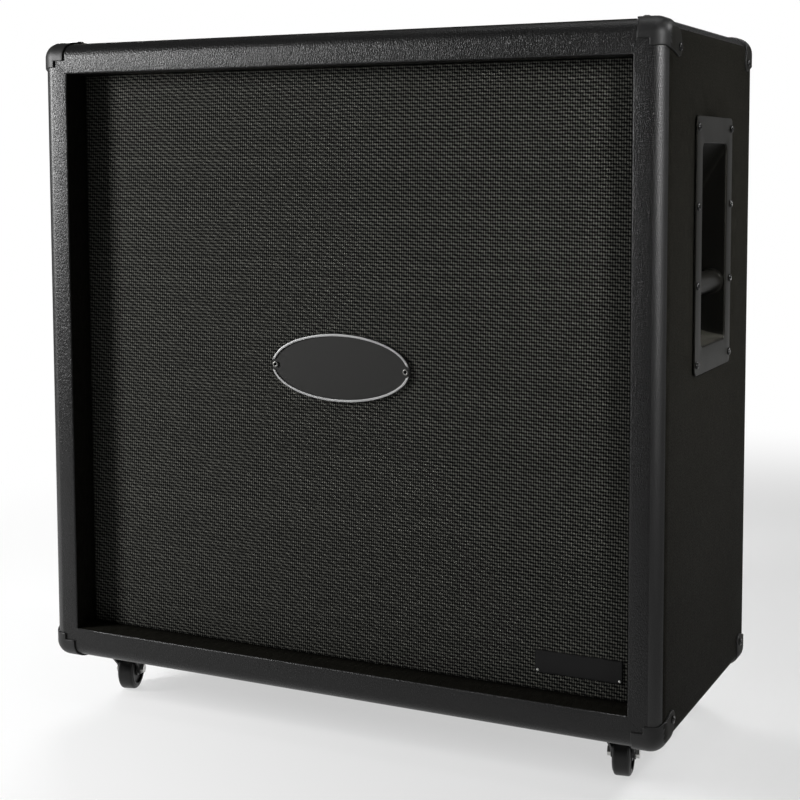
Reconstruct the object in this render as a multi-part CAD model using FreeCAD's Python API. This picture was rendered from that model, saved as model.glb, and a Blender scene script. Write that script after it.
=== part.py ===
import FreeCAD, Part
import math
import os
from FreeCAD import Vector

os.makedirs("parts", exist_ok=True)

# Guitar speaker cabinet for four 12 inch loudspeakers, on swivel casters.
# Millimetres, +Z up, origin on the floor under the middle, front facing -Y.

# Box, measured over its covering
cabinet_width = 762.0
cabinet_height = 737.0
cabinet_depth = 350.0
edge_radius = 17.0
vinyl_thickness = 1.0
panel_thickness = 18.0
finger_count = 9
overrun = 5.0

# Front frame, grille and baffle
frame_face_width = 36.0
recess_depth = 35.0
cloth_thickness = 1.0
grille_fit_gap = 0.5
grille_board_thickness = 11.0
grille_rail_width = 38.0
grille_cross_width = 40.0
baffle_thickness = 18.0
board_gap = 1.0

# Back panel
back_inset = 8.0
back_thickness = 18.0
batten_width = 18.0
batten_depth = 18.0
post_width = 50.0
back_edge_gap = 1.5

# Oval badge and name plate
badge_width = 173.0
badge_height = 76.0
badge_thickness = 3.0
badge_rim_width = 4.5
badge_rim_height = 1.5
badge_screw_inset = 4.5
badge_boss_radius = 6.0
name_plate_width = 96.0
name_plate_height = 24.0
name_plate_thickness = 1.5
name_plate_side_gap = 16.0
name_plate_low_gap = 20.0
rivet_inset = 2.6
rivet_head_radius = 1.6
rivet_head_height = 1.0
rivet_shank_radius = 1.0
rivet_length = 7.0

# Loudspeakers
speaker_edge_gap = 28.5
speaker_gap = 22.0
speaker_flange_width = 19.0
flange_thickness = 2.0
gasket_thickness = 3.0
gasket_edge_gap = 0.5
gasket_width = 8.5
cutout_step = 4.5
speaker_screw_count = 8
basket_throat_radius = 64.0
basket_depth = 85.0
basket_wall = 2.0
basket_back_thickness = 3.0
spider_edge_gap = 4.0
spider_land = 12.0
spider_thickness = 1.2
window_count = 8
window_width = 40.0
window_front_land = 19.0
window_back_land = 19.0
top_plate_radius = 70.0
top_plate_thickness = 6.0
magnet_radius = 78.0
magnet_hole_radius = 40.0
magnet_thickness = 22.0
back_plate_radius = 70.0
back_plate_thickness = 8.0
pole_air_gap = 0.7
coil_inner_radius = 25.1
coil_wall = 1.2
coil_air_gap = 0.7
coil_reach = 12.0
surround_width = 8.0
cone_front_gap = 2.0
cone_depth = 58.0
cone_wall = 1.4
dust_cap_radius = 36.0
dust_cap_rise = 12.0
surround_gap = 0.3
surround_rise = 3.5
surround_wall = 1.0
terminal_width = 16.0
terminal_radial = 7.0
terminal_height = 18.0
terminal_inset = 1.0

# Jack plate, jacks and inside wiring
jack_plate_width = 150.0
jack_plate_height = 64.0
jack_plate_thickness = 2.0
jack_plate_drop = 200.0
jack_spacing = 80.0
jack_plate_screw_inset = 5.4
jack_well_gap = 5.0
jack_body_radius = 11.0
jack_body_length = 27.0
jack_bore_radius = 3.25
jack_end_wall = 2.0
bushing_radius = 4.7
bushing_length = 6.0
jack_nut_width = 12.7
jack_nut_thickness = 2.5
lug_spacing = 16.0
lug_radius = 2.6
lug_length = 10.0
wire_radius = 2.4
wire_lead = 64.0
wire_bend_radius = 30.0

# Side handles
handle_from_front = 171.0
handle_below_top = 229.0
flange_side_width = 22.75
flange_end_width = 28.5
handle_flange_thickness = 3.0
flange_corner_radius = 7.0
grip_opening_width = 100.0
grip_opening_height = 214.5
grip_corner_radius = 8.0
dish_depth = 62.0
dish_wall = 2.5
dish_ceiling_drop = 92.0
dish_floor_land = 12.0
dish_cut_gap = 1.0
bar_radius = 12.0
bar_sink = 14.0
bar_drop = 44.0
bar_collar_radius = 14.5
bar_collar_length = 5.0
handle_screw_side_inset = 5.75
handle_screw_end_inset = 11.7
handle_screw_rows = 4

# Corner caps
cap_proud = 2.0
cap_leg_side = 32.0
cap_leg_drop = 28.0
cap_leg_back = 33.0
cap_top_wrap = 20.5
cap_side_wrap = 19.0
cap_ear_radius = 9.5

# Casters
stem_from_side = 61.0
stem_from_face = 58.0
caster_trail = 26.0
wheel_radius = 25.0
wheel_width = 20.0
wheel_shoulder = 4.0
wheel_recess_inner = 9.0
wheel_tyre_thickness = 7.0
wheel_recess_depth = 3.0
axle_radius = 3.0
axle_fit = 0.05
hub_side_gap = 0.8
fork_wall = 2.5
fork_lean = 4.7
fork_crown_lip = 2.0
fork_boss_radius = 7.0
fork_waist_rise = 10.0
crown_gap_over_wheel = 1.6
swivel_gap = 0.3
race_radius = 18.5
race_thickness = 3.6
king_pin_radius = 5.0
king_pin_fit = 0.06
king_head_radius = 8.0
king_head_height = 3.0
stem_radius = 5.5
stem_fit = 0.1
stem_tip_gap = 2.0
socket_wall = 2.5
socket_flange_radius = 19.0
socket_flange_thickness = 2.0
axle_nut_width = 10.0
axle_nut_thickness = 4.0
front_right_turn = 10.0
front_left_turn = 16.0
rear_right_turn = 12.0
rear_left_turn = 15.0

# Screws
wood_screw_head_radius = 4.5
wood_screw_head_height = 2.6
wood_screw_shank_radius = 2.0
back_screw_length = 26.0
baffle_screw_length = 38.0
speaker_screw_head_radius = 4.5
speaker_screw_head_height = 3.0
speaker_screw_shank_radius = 2.2
speaker_screw_length = 18.0
case_screw_head_radius = 4.2
case_screw_head_height = 2.6
case_screw_shank_radius = 1.9
handle_screw_length = 15.0
cap_screw_length = 15.0
small_screw_head_radius = 3.4
small_screw_head_height = 2.0
small_screw_shank_radius = 1.5
jack_plate_screw_length = 14.0
badge_screw_tip_gap = 1.0
screw_clearance = 0.15

# Where rows of screws sit, as shares of the half length of their edge
long_row_shares = (-0.88, -0.44, 0.0, 0.44, 0.88)
short_row_shares = (-0.55, 0.0, 0.55)
post_row_shares = (-0.28, 0.28)

# Screw kinds: head radius, head height, shank radius, length under the head
wood_screw = (wood_screw_head_radius, wood_screw_head_height, wood_screw_shank_radius)
case_screw = (case_screw_head_radius, case_screw_head_height, case_screw_shank_radius)
small_screw = (small_screw_head_radius, small_screw_head_height, small_screw_shank_radius)
back_screw = wood_screw + (back_screw_length,)
baffle_screw = wood_screw + (baffle_screw_length,)
speaker_screw = (speaker_screw_head_radius, speaker_screw_head_height, speaker_screw_shank_radius,
                 speaker_screw_length)
handle_screw = case_screw + (handle_screw_length,)
cap_screw = case_screw + (cap_screw_length,)
jack_plate_screw = small_screw + (jack_plate_screw_length,)
badge_screw_length = badge_thickness + cloth_thickness + grille_board_thickness - badge_screw_tip_gap
badge_screw = small_screw + (badge_screw_length,)
rivet = (rivet_head_radius, rivet_head_height, rivet_shank_radius, rivet_length)

# Places worked out from the sizes above
half_width = cabinet_width / 2
half_depth = cabinet_depth / 2
wheel_room = 2 * wheel_radius + crown_gap_over_wheel
caster_height = wheel_room + fork_wall + swivel_gap + race_thickness + socket_flange_thickness
base_z = caster_height
top_z = base_z + cabinet_height
middle_z = base_z + cabinet_height / 2
skin = vinyl_thickness
inner_half_width = half_width - skin - panel_thickness
inner_base_z = base_z + skin + panel_thickness
inner_top_z = top_z - skin - panel_thickness
inner_half_height = (inner_top_z - inner_base_z) / 2
speaker_room = min(inner_half_width, inner_half_height) - speaker_edge_gap - speaker_gap / 2
speaker_radius = speaker_room / 2
front_y = -half_depth
rear_y = half_depth
opening_half_width = half_width - frame_face_width
opening_half_height = cabinet_height / 2 - frame_face_width
cloth_y = front_y + recess_depth
grille_y = cloth_y + cloth_thickness
baffle_y = grille_y + grille_board_thickness
baffle_rear_y = baffle_y + baffle_thickness
back_skin_y = rear_y - back_inset
back_y = back_skin_y - skin
back_front_y = back_y - back_thickness


def block(x0, x1, y0, y1, z0, z1):
    return Part.makeBox(x1 - x0, y1 - y0, z1 - z0, Vector(x0, y0, z0))


def slab(half_x, y0, y1, half_z):
    return block(-half_x, half_x, y0, y1, middle_z - half_z, middle_z + half_z)


def rod(radius, start, end):
    run = end - start
    return Part.makeCylinder(radius, run.Length, start, run)


def fused(shapes):
    whole = shapes[0]
    if len(shapes) > 1:
        whole = whole.multiFuse(list(shapes[1:]))
    return whole.removeSplitter()


def rounded_box(inset, radius):
    box = block(-half_width + inset, half_width - inset, front_y + inset, rear_y - inset,
                base_z + inset, top_z - inset)
    return box.makeFillet(radius, box.Edges)


def mirror_x(shape):
    return shape.mirror(Vector(0, 0, 0), Vector(1, 0, 0))


def mirror_y(shape):
    return shape.mirror(Vector(0, 0, 0), Vector(0, 1, 0))


def mirror_z(shape):
    return shape.mirror(Vector(0, 0, middle_z), Vector(0, 0, 1))


def turned_profile(points):
    # points are (radius, distance behind the baffle), spun about the Y axis
    wire = Part.makePolygon([Vector(r, s, 0) for r, s in points + points[:1]])
    return Part.Face(wire).revolve(Vector(0, 0, 0), Vector(0, 1, 0), 360)


def plane_prism(points, run):
    wire = Part.makePolygon(points + points[:1])
    return Part.Face(wire).extrude(run)


def screw(kind, seat, inward):
    # domed head standing on its seat, with a plain shank going inward
    head_radius, head_height, shank_radius, length = kind
    dome_radius = (head_radius ** 2 + head_height ** 2) / (2 * head_height)
    centre = seat + inward * (dome_radius - head_height)
    dome = Part.makeSphere(dome_radius, centre)
    head = dome.common(rod(head_radius + overrun, seat - inward * (head_height + overrun), seat))
    return head.fuse(rod(shank_radius, seat, seat + inward * length)).removeSplitter()


def screw_hole(kind, seat, inward):
    shank_radius, length = kind[2:]
    start = seat - inward * overrun
    return rod(shank_radius + screw_clearance, start, seat + inward * (length + screw_clearance))


def hex_nut(across, thickness, hole_radius, centre, axis):
    corner = across / math.sqrt(3)
    side = axis.cross(Vector(0, 0, 1))
    up = side.cross(axis)
    points = []
    for k in range(6):
        angle = math.radians(60 * k)
        points.append(centre + side * (corner * math.cos(angle)) + up * (corner * math.sin(angle)))
    nut = plane_prism(points, axis * thickness)
    return nut.cut(rod(hole_radius, centre - axis * overrun, centre + axis * (thickness + overrun)))


def save(name, shapes):
    solids = []
    for shape in shapes:
        solids.extend(shape.Solids)
    whole = solids[0] if len(solids) == 1 else Part.makeCompound(solids)
    whole.exportStep("parts/" + name + ".step")


# Handle: one on the right side, mirrored for the left
handle_y = front_y + handle_from_front
handle_z = top_z - handle_below_top
handle_face_x = half_width + handle_flange_thickness
grip_half_width = grip_opening_width / 2
grip_half_height = grip_opening_height / 2
flange_half_width = grip_half_width + flange_side_width
flange_half_height = grip_half_height + flange_end_width
grip_top_z = handle_z + grip_half_height
grip_low_z = handle_z - grip_half_height
bar_x = half_width - bar_sink
bar_z = handle_z - bar_drop


def side_plate(half_y, half_z, x0, x1, radius):
    plate = block(x0, x1, handle_y - half_y, handle_y + half_y, handle_z - half_z, handle_z + half_z)
    corner_edges = [e for e in plate.Edges if e.BoundBox.XLength > e.BoundBox.YLength + e.BoundBox.ZLength]
    return plate.makeFillet(radius, corner_edges)


def dish_profile(grow, y0, y1):
    # scoop seen along Y: sloping ceiling, upright back, large round floor
    face_x = handle_face_x
    back_x = half_width - dish_depth - grow
    top = grip_top_z + grow
    low = grip_low_z - grow
    knee = top - dish_ceiling_drop
    radius = dish_depth - dish_floor_land + grow
    bend = math.radians(45)
    start = Vector(back_x, y0, low + radius)
    middle = Vector(back_x + radius * (1 - math.cos(bend)), y0, low + radius * (1 - math.sin(bend)))
    end = Vector(back_x + radius, y0, low)
    outline = [Part.makeLine(Vector(face_x, y0, low), Vector(face_x, y0, top))]
    outline.append(Part.makeLine(Vector(face_x, y0, top), Vector(half_width, y0, top)))
    outline.append(Part.makeLine(Vector(half_width, y0, top), Vector(back_x, y0, knee)))
    outline.append(Part.makeLine(Vector(back_x, y0, knee), start))
    outline.append(Part.Arc(start, middle, end).toShape())
    outline.append(Part.makeLine(end, Vector(face_x, y0, low)))
    return Part.Face(Part.Wire(outline)).extrude(Vector(0, y1 - y0, 0))


def handle_places():
    places = []
    row_low = handle_screw_end_inset - flange_half_height
    row_pitch = -2 * row_low / (handle_screw_rows - 1)
    for side in (-1, 1):
        y = handle_y + side * (flange_half_width - handle_screw_side_inset)
        for row in range(handle_screw_rows):
            places.append(Vector(handle_face_x, y, handle_z + row_low + row * row_pitch))
    return places


dish_inside = dish_profile(0, handle_y - grip_half_width, handle_y + grip_half_width)
dish_outside = dish_profile(dish_wall, handle_y - grip_half_width - dish_wall,
                            handle_y + grip_half_width + dish_wall)
flange = side_plate(flange_half_width, flange_half_height, half_width, handle_face_x, flange_corner_radius)
right_dish = fused([flange, dish_outside]).cut(dish_inside)
inward_x = Vector(-1, 0, 0)
handle_screws = [screw(handle_screw, place, inward_x) for place in handle_places()]
handle_holes = [screw_hole(handle_screw, place, inward_x) for place in handle_places()]
right_dish = right_dish.cut(Part.makeCompound(handle_holes))
bar_start = Vector(bar_x, handle_y - grip_half_width, bar_z)
bar_end = Vector(bar_x, handle_y + grip_half_width, bar_z)
along_y = Vector(0, 1, 0)
right_bar = fused([rod(bar_radius, bar_start, bar_end),
                   Part.makeCone(bar_collar_radius, bar_radius, bar_collar_length, bar_start, along_y),
                   Part.makeCone(bar_collar_radius, bar_radius, bar_collar_length, bar_end, along_y * -1)])
cut_half_width = grip_half_width + dish_wall + dish_cut_gap
cut_half_height = grip_half_height + dish_wall + dish_cut_gap
right_handle_cut = block(inner_half_width - overrun, half_width + overrun, handle_y - cut_half_width,
                         handle_y + cut_half_width, handle_z - cut_half_height, handle_z + cut_half_height)
side_cuts = [right_handle_cut] + handle_holes
save("right_handle_dish", [right_dish])
save("left_handle_dish", [mirror_x(right_dish)])
save("handle_bars", [right_bar, mirror_x(right_bar)])
save("handle_screws", handle_screws + [mirror_x(s) for s in handle_screws])

# Corner caps: one at the front top right, mirrored to the other seven corners
wood_box = rounded_box(skin, edge_radius - skin)
skin_box = rounded_box(0, edge_radius)
cap_box = rounded_box(-cap_proud, edge_radius + cap_proud)


def tangent_point(point, centre, radius, turn):
    # touching point on a circle of a line from an outside point
    dx = point[0] - centre[0]
    dy = point[1] - centre[1]
    angle = math.atan2(dy, dx) + turn * math.acos(radius / math.hypot(dx, dy))
    return (centre[0] + radius * math.cos(angle), centre[1] + radius * math.sin(angle))


def ear_outline(leg, back):
    # plate over one face, from the corner out to a rounded ear about its screw
    centre = (leg, back)
    first = tangent_point((leg, 0), centre, cap_ear_radius, 1)
    second = tangent_point((0, back), centre, cap_ear_radius, -1)
    out = -cap_proud - overrun
    return [(out, out), (leg, out), (leg, 0), first, centre, second, (0, back), (out, back)]


def cap_point(from_side, from_top, from_front):
    return Vector(half_width - from_side, front_y + from_front, top_z - from_top)


cap_out = -cap_proud - overrun
top_ear = cap_point(cap_leg_side, -cap_proud, cap_leg_back)
side_ear = cap_point(-cap_proud, cap_leg_drop, cap_leg_back)
top_plate = plane_prism([cap_point(u, cap_out, t) for u, t in ear_outline(cap_leg_side, cap_leg_back)],
                        Vector(0, 0, cap_out - cap_top_wrap))
side_plate_prism = plane_prism([cap_point(cap_out, w, t) for w, t in ear_outline(cap_leg_drop, cap_leg_back)],
                               Vector(cap_out - cap_side_wrap, 0, 0))
inward_z = Vector(0, 0, -1)
top_round = rod(cap_ear_radius, top_ear - inward_z * overrun, top_ear + inward_z * cap_top_wrap)
side_round = rod(cap_ear_radius, side_ear - inward_x * overrun, side_ear + inward_x * cap_side_wrap)
cap_reach = fused([top_plate, side_plate_prism, top_round, side_round])
cap = cap_box.cut(wood_box).common(cap_reach)
cap_screws = [screw(cap_screw, top_ear, inward_z), screw(cap_screw, side_ear, inward_x)]
cap_holes = [screw_hole(cap_screw, top_ear, inward_z), screw_hole(cap_screw, side_ear, inward_x)]
cap = cap.cut(Part.makeCompound(cap_holes))


def eight_corners(shapes):
    whole = list(shapes)
    for flip in (mirror_x, mirror_y, mirror_z):
        whole += [flip(shape) for shape in whole]
    return whole


corner_caps = eight_corners([cap])
corner_holes = eight_corners(cap_holes)
save("corner_caps", corner_caps)
save("corner_screws", eight_corners(cap_screws))

# Casters: socket and stem in the bottom panel, turning fork, rolling wheel
axle_z = wheel_radius
crown_low_z = wheel_room
crown_top_z = crown_low_z + fork_wall
race_low_z = crown_top_z + swivel_gap
socket_low_z = base_z - socket_flange_thickness
hub_half = wheel_width / 2
arm_in = hub_half + hub_side_gap
arm_out = arm_in + fork_wall
fork_shoulder = arm_out + fork_lean
fork_crown_radius = fork_shoulder + fork_crown_lip
up = Vector(0, 0, 1)
along_x = Vector(1, 0, 0)


def caster_socket():
    flange = rod(socket_flange_radius, Vector(0, 0, socket_low_z), Vector(0, 0, base_z))
    tube = rod(stem_radius + stem_fit + socket_wall, Vector(0, 0, base_z), Vector(0, 0, inner_base_z))
    bore = rod(stem_radius + stem_fit, Vector(0, 0, socket_low_z - overrun),
               Vector(0, 0, inner_base_z + overrun))
    return fused([flange, tube]).cut(bore)


def caster_stem():
    race = rod(race_radius, Vector(0, 0, race_low_z), Vector(0, 0, socket_low_z))
    shaft = rod(stem_radius, Vector(0, 0, socket_low_z), Vector(0, 0, inner_base_z - stem_tip_gap))
    pin = rod(king_pin_radius, Vector(0, 0, crown_low_z - swivel_gap), Vector(0, 0, race_low_z))
    head_top = crown_low_z - swivel_gap
    head = rod(king_head_radius, Vector(0, 0, head_top - king_head_height), Vector(0, 0, head_top))
    return fused([race, shaft, pin, head])


def caster_fork():
    # crown disc over two arms that lean in and then drop past the wheel to the axle
    crown = rod(fork_crown_radius, Vector(0, 0, crown_low_z), Vector(0, 0, crown_top_z))
    waist_z = axle_z + fork_waist_rise
    front = [(arm_in, axle_z - fork_boss_radius), (arm_out, axle_z - fork_boss_radius), (arm_out, waist_z),
             (fork_shoulder, crown_top_z), (fork_shoulder - fork_wall, crown_top_z), (arm_in, waist_z)]
    reach = fork_crown_radius + caster_trail + fork_boss_radius
    bar = plane_prism([Vector(x, -reach, z) for x, z in front], Vector(0, 2 * reach, 0))
    crown_edge = math.sqrt(fork_crown_radius ** 2 - fork_shoulder ** 2)
    side = [(-crown_edge, crown_top_z), (crown_edge, crown_top_z),
            (caster_trail + fork_boss_radius, axle_z), (caster_trail - fork_boss_radius, axle_z)]
    web = plane_prism([Vector(-reach, y, z) for y, z in side], Vector(2 * reach, 0, 0))
    boss = rod(fork_boss_radius, Vector(-reach, caster_trail, axle_z), Vector(reach, caster_trail, axle_z))
    arm = bar.common(fused([web, boss]))
    fork = fused([crown, arm, mirror_x(arm)])
    pin_hole = rod(king_pin_radius + king_pin_fit, Vector(0, 0, crown_low_z - overrun),
                   Vector(0, 0, crown_top_z + overrun))
    axle_hole = rod(axle_radius + axle_fit, Vector(-reach, caster_trail, axle_z),
                    Vector(reach, caster_trail, axle_z))
    return fork.cut(fused([pin_hole, axle_hole]))


def caster_axle():
    end = arm_out + axle_nut_thickness
    pin = rod(axle_radius, Vector(-end, caster_trail, axle_z), Vector(end, caster_trail, axle_z))
    nuts = [hex_nut(axle_nut_width, axle_nut_thickness, axle_radius - axle_fit,
                    Vector(side * arm_out, caster_trail, axle_z), along_x * side) for side in (-1, 1)]
    return fused([pin] + nuts)


def caster_wheel():
    # crowned tyre with a dished face each side and a bore running on the axle
    tyre = rod(wheel_radius, Vector(-hub_half, caster_trail, axle_z), Vector(hub_half, caster_trail, axle_z))
    rims = [e for e in tyre.Edges if e.Closed]
    tyre = tyre.makeFillet(wheel_shoulder, rims)
    wheel_recess_outer = wheel_radius - wheel_tyre_thickness
    cuts = [rod(axle_radius + axle_fit, Vector(-arm_in, caster_trail, axle_z),
                Vector(arm_in, caster_trail, axle_z))]
    for side in (-1, 1):
        mouth = Vector(side * arm_in, caster_trail, axle_z)
        floor = Vector(side * (hub_half - wheel_recess_depth), caster_trail, axle_z)
        cuts.append(rod(wheel_recess_outer, mouth, floor).cut(rod(wheel_recess_inner, mouth, floor)))
    return tyre.cut(Part.makeCompound(cuts))


def placed(shape, x, y, turn):
    copy = shape.copy()
    copy.rotate(Vector(0, 0, 0), up, turn)
    copy.translate(Vector(x, y, 0))
    return copy


stem_x = half_width - stem_from_side
stem_y = half_depth - stem_from_face
caster_places = {"front_left": (-stem_x, -stem_y, front_left_turn),
                 "front_right": (stem_x, -stem_y, front_right_turn),
                 "rear_left": (-stem_x, stem_y, rear_left_turn),
                 "rear_right": (stem_x, stem_y, rear_right_turn)}
sockets = []
stems = []
socket_holes = []
for name, (x, y, turn) in caster_places.items():
    save("caster_" + name + "_fork", [placed(caster_fork(), x, y, turn)])
    save("caster_" + name + "_axle", [placed(caster_axle(), x, y, turn)])
    save("caster_" + name + "_wheel", [placed(caster_wheel(), x, y, turn)])
    sockets.append(placed(caster_socket(), x, y, 0))
    stems.append(placed(caster_stem(), x, y, 0))
    socket_holes.append(rod(stem_radius + stem_fit + socket_wall, Vector(x, y, base_z - overrun),
                            Vector(x, y, inner_base_z + overrun)))
save("caster_sockets", sockets)
save("caster_stems", stems)

# Four plywood panels, finger jointed along their corners
carcass = wood_box.cut(slab(inner_half_width, front_y - overrun, rear_y + overrun, inner_half_height))
finger_pitch = (cabinet_depth - 2 * skin) / finger_count
finger_start = front_y + skin
right_fingers = []
for k in range(1, finger_count, 2):
    y0 = finger_start + k * finger_pitch
    right_fingers.append(block(inner_half_width, half_width, y0, y0 + finger_pitch, inner_top_z, top_z))
right_fingers += [mirror_z(finger) for finger in right_fingers]
left_fingers = [mirror_x(finger) for finger in right_fingers]
all_fingers = Part.makeCompound(right_fingers + left_fingers)
cross_cuts = corner_holes + socket_holes
top_slab = block(-half_width, half_width, front_y, rear_y, inner_top_z, top_z)
side_slab = block(inner_half_width, half_width, front_y, rear_y, inner_base_z, inner_top_z)
right_region = fused([side_slab] + right_fingers)
cut_tools = Part.makeCompound(cross_cuts)
top_panel = carcass.common(top_slab).cut(all_fingers).cut(cut_tools)
bottom_panel = carcass.common(mirror_z(top_slab)).cut(all_fingers).cut(cut_tools)
right_panel = carcass.common(right_region).cut(Part.makeCompound(cross_cuts + side_cuts))
left_panel = mirror_x(right_panel)
save("top_panel", [top_panel])
save("bottom_panel", [bottom_panel])
save("right_side_panel", [right_panel])
save("left_side_panel", [left_panel])

# Front frame: four mitred rails inside the panels' front edges
rail_half_width = opening_half_width + skin
rail_half_height = opening_half_height + skin


def frame_rail(corner_pairs):
    points = [Vector(x, front_y + skin, middle_z + z) for x, z in corner_pairs]
    return plane_prism(points, Vector(0, baffle_y - front_y - skin, 0))


top_rail = frame_rail([(-inner_half_width, inner_half_height), (inner_half_width, inner_half_height),
                       (rail_half_width, rail_half_height), (-rail_half_width, rail_half_height)])
right_rail = frame_rail([(inner_half_width, inner_half_height), (inner_half_width, -inner_half_height),
                         (rail_half_width, -rail_half_height), (rail_half_width, rail_half_height)])
baffle_half_width = inner_half_width - board_gap
baffle_half_height = inner_half_height - board_gap
rail_mid_x = (inner_half_width + rail_half_width) / 2
rail_mid_z = (inner_half_height + rail_half_height) / 2
inward_front = Vector(0, -1, 0)


def edge_row(half_x, half_z, y):
    # places round a board: long rows along top and bottom, short rows up the sides
    places = []
    for side in (-1, 1):
        places += [Vector(share * half_x, y, middle_z + side * half_z) for share in long_row_shares]
        places += [Vector(side * half_x, y, middle_z + share * half_z) for share in short_row_shares]
    return places


baffle_places = edge_row(rail_mid_x, rail_mid_z, baffle_rear_y)
baffle_holes = [screw_hole(baffle_screw, place, inward_front) for place in baffle_places]
baffle_hole_tool = Part.makeCompound(baffle_holes)
rails = [top_rail, mirror_z(top_rail), right_rail, mirror_x(right_rail)]
save("front_frame", [rail.cut(baffle_hole_tool) for rail in rails])
save("baffle_screws", [screw(baffle_screw, place, inward_front) for place in baffle_places])

# Loudspeakers on the back of the baffle
speaker_x = speaker_radius + speaker_gap / 2
speaker_places = {"top_left": (-1, 1), "top_right": (1, 1), "bottom_left": (-1, -1), "bottom_right": (1, -1)}
flange_front = gasket_thickness
flange_back = flange_front + flange_thickness
gasket_outer_radius = speaker_radius - gasket_edge_gap
gasket_inner_radius = gasket_outer_radius - gasket_width
bolt_circle_radius = (gasket_inner_radius + gasket_outer_radius) / 2
speaker_cutout_radius = gasket_inner_radius - cutout_step
basket_seat_radius = speaker_radius - speaker_flange_width
cone_outer_radius = basket_seat_radius - surround_width
surround_land_radius = gasket_inner_radius - surround_gap
spider_outer_radius = basket_throat_radius - spider_edge_gap
spider_hole_radius = spider_outer_radius - spider_land
pole_radius = coil_inner_radius - pole_air_gap
window_front = flange_back + window_front_land
window_back = basket_depth - window_back_land
basket_back = basket_depth + basket_back_thickness
motor_front = basket_back
magnet_front = motor_front + top_plate_thickness
plate_front = magnet_front + magnet_thickness
motor_back = plate_front + back_plate_thickness
coil_outer_radius = coil_inner_radius + coil_wall
coil_end = motor_front + coil_reach
cone_throat = cone_front_gap + cone_depth


def speaker_basket():
    # stamped frame: flat flange, sloping side with windows, flat back with a hole
    shell = turned_profile([(basket_seat_radius, flange_front), (speaker_radius, flange_front),
                            (speaker_radius, flange_back), (basket_seat_radius + basket_wall, flange_back),
                            (basket_throat_radius + basket_wall, basket_depth),
                            (basket_throat_radius + basket_wall, basket_back),
                            (spider_hole_radius, basket_back), (spider_hole_radius, basket_depth),
                            (basket_throat_radius, basket_depth)])
    window = block(basket_throat_radius, speaker_radius + overrun, window_front, window_back,
                   -window_width / 2, window_width / 2)
    windows = []
    for k in range(window_count):
        opening = window.copy()
        opening.rotate(Vector(0, 0, 0), along_y, k * 360 / window_count)
        windows.append(opening)
    return shell.cut(Part.makeCompound(windows))


def speaker_motor():
    # top plate, magnet ring, and back plate with its pole
    gap_radius = coil_outer_radius + coil_air_gap
    top_ring = turned_profile([(gap_radius, motor_front), (top_plate_radius, motor_front),
                               (top_plate_radius, magnet_front), (gap_radius, magnet_front)])
    magnet = turned_profile([(magnet_hole_radius, magnet_front), (magnet_radius, magnet_front),
                             (magnet_radius, plate_front), (magnet_hole_radius, plate_front)])
    yoke = turned_profile([(0, motor_front), (pole_radius, motor_front), (pole_radius, plate_front),
                           (back_plate_radius, plate_front), (back_plate_radius, motor_back),
                           (0, motor_back)])
    return [top_ring, magnet, yoke]


def speaker_cone():
    # paper cone with its dust cap and coil former, drawn as one closed section
    slope = (cone_throat - cone_front_gap) / (cone_outer_radius - coil_outer_radius)
    cap_edge = cone_throat - (dust_cap_radius - coil_outer_radius) * slope
    cap_front = cap_edge - dust_cap_rise
    rise_shares = (1.0, 0.89, 0.56, 0.0)
    radius_shares = (0.0, 0.33, 0.66, 1.0)
    front = [(r * dust_cap_radius, cap_edge - h * dust_cap_rise) for r, h in zip(radius_shares, rise_shares)]
    inside = [(r * coil_inner_radius, cap_front + cone_wall + (1 - h) * dust_cap_rise)
              for r, h in zip(radius_shares, rise_shares)]
    rim = [(cone_outer_radius, cone_front_gap), (cone_outer_radius, cone_front_gap + cone_wall),
           (coil_outer_radius, cone_throat + cone_wall), (coil_outer_radius, coil_end),
           (coil_inner_radius, coil_end)]
    return turned_profile(front + rim + inside[::-1])


def speaker_suspension():
    # surround rolled up between cone and flange, and the spider behind it
    inner = cone_outer_radius + surround_gap
    land = basket_seat_radius
    crest = (inner + land) / 2
    low = flange_front - surround_wall
    roll = turned_profile([(inner, low), (crest, low - surround_rise), (land, low),
                           (surround_land_radius, low), (surround_land_radius, flange_front),
                           (land, flange_front), (crest, flange_front - surround_rise),
                           (inner, flange_front)])
    spider_front = basket_depth - spider_thickness
    spider_inner = coil_outer_radius + surround_gap
    spider = turned_profile([(spider_inner, spider_front), (spider_outer_radius, spider_front),
                             (spider_outer_radius, basket_depth), (spider_inner, basket_depth)])
    return [roll, spider]


def speaker_gasket():
    return turned_profile([(gasket_inner_radius, 0), (gasket_outer_radius, 0),
                           (gasket_outer_radius, gasket_thickness), (gasket_inner_radius, gasket_thickness)])


def at_speaker(shape, side_x, side_z):
    copy = shape.copy()
    copy.translate(Vector(side_x * speaker_x, baffle_rear_y, middle_z + side_z * speaker_x))
    return copy


basket = speaker_basket()
screw_places = []
for k in range(speaker_screw_count):
    angle = 2 * math.pi * (k + 1 / 2) / speaker_screw_count
    screw_places.append(Vector(bolt_circle_radius * math.cos(angle), flange_back,
                               bolt_circle_radius * math.sin(angle)))
speaker_holes = Part.makeCompound([screw_hole(speaker_screw, place, inward_front) for place in screw_places])
speaker_screws = [screw(speaker_screw, place, inward_front) for place in screw_places]
basket = basket.cut(speaker_holes)
gasket = speaker_gasket().cut(speaker_holes)
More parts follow.
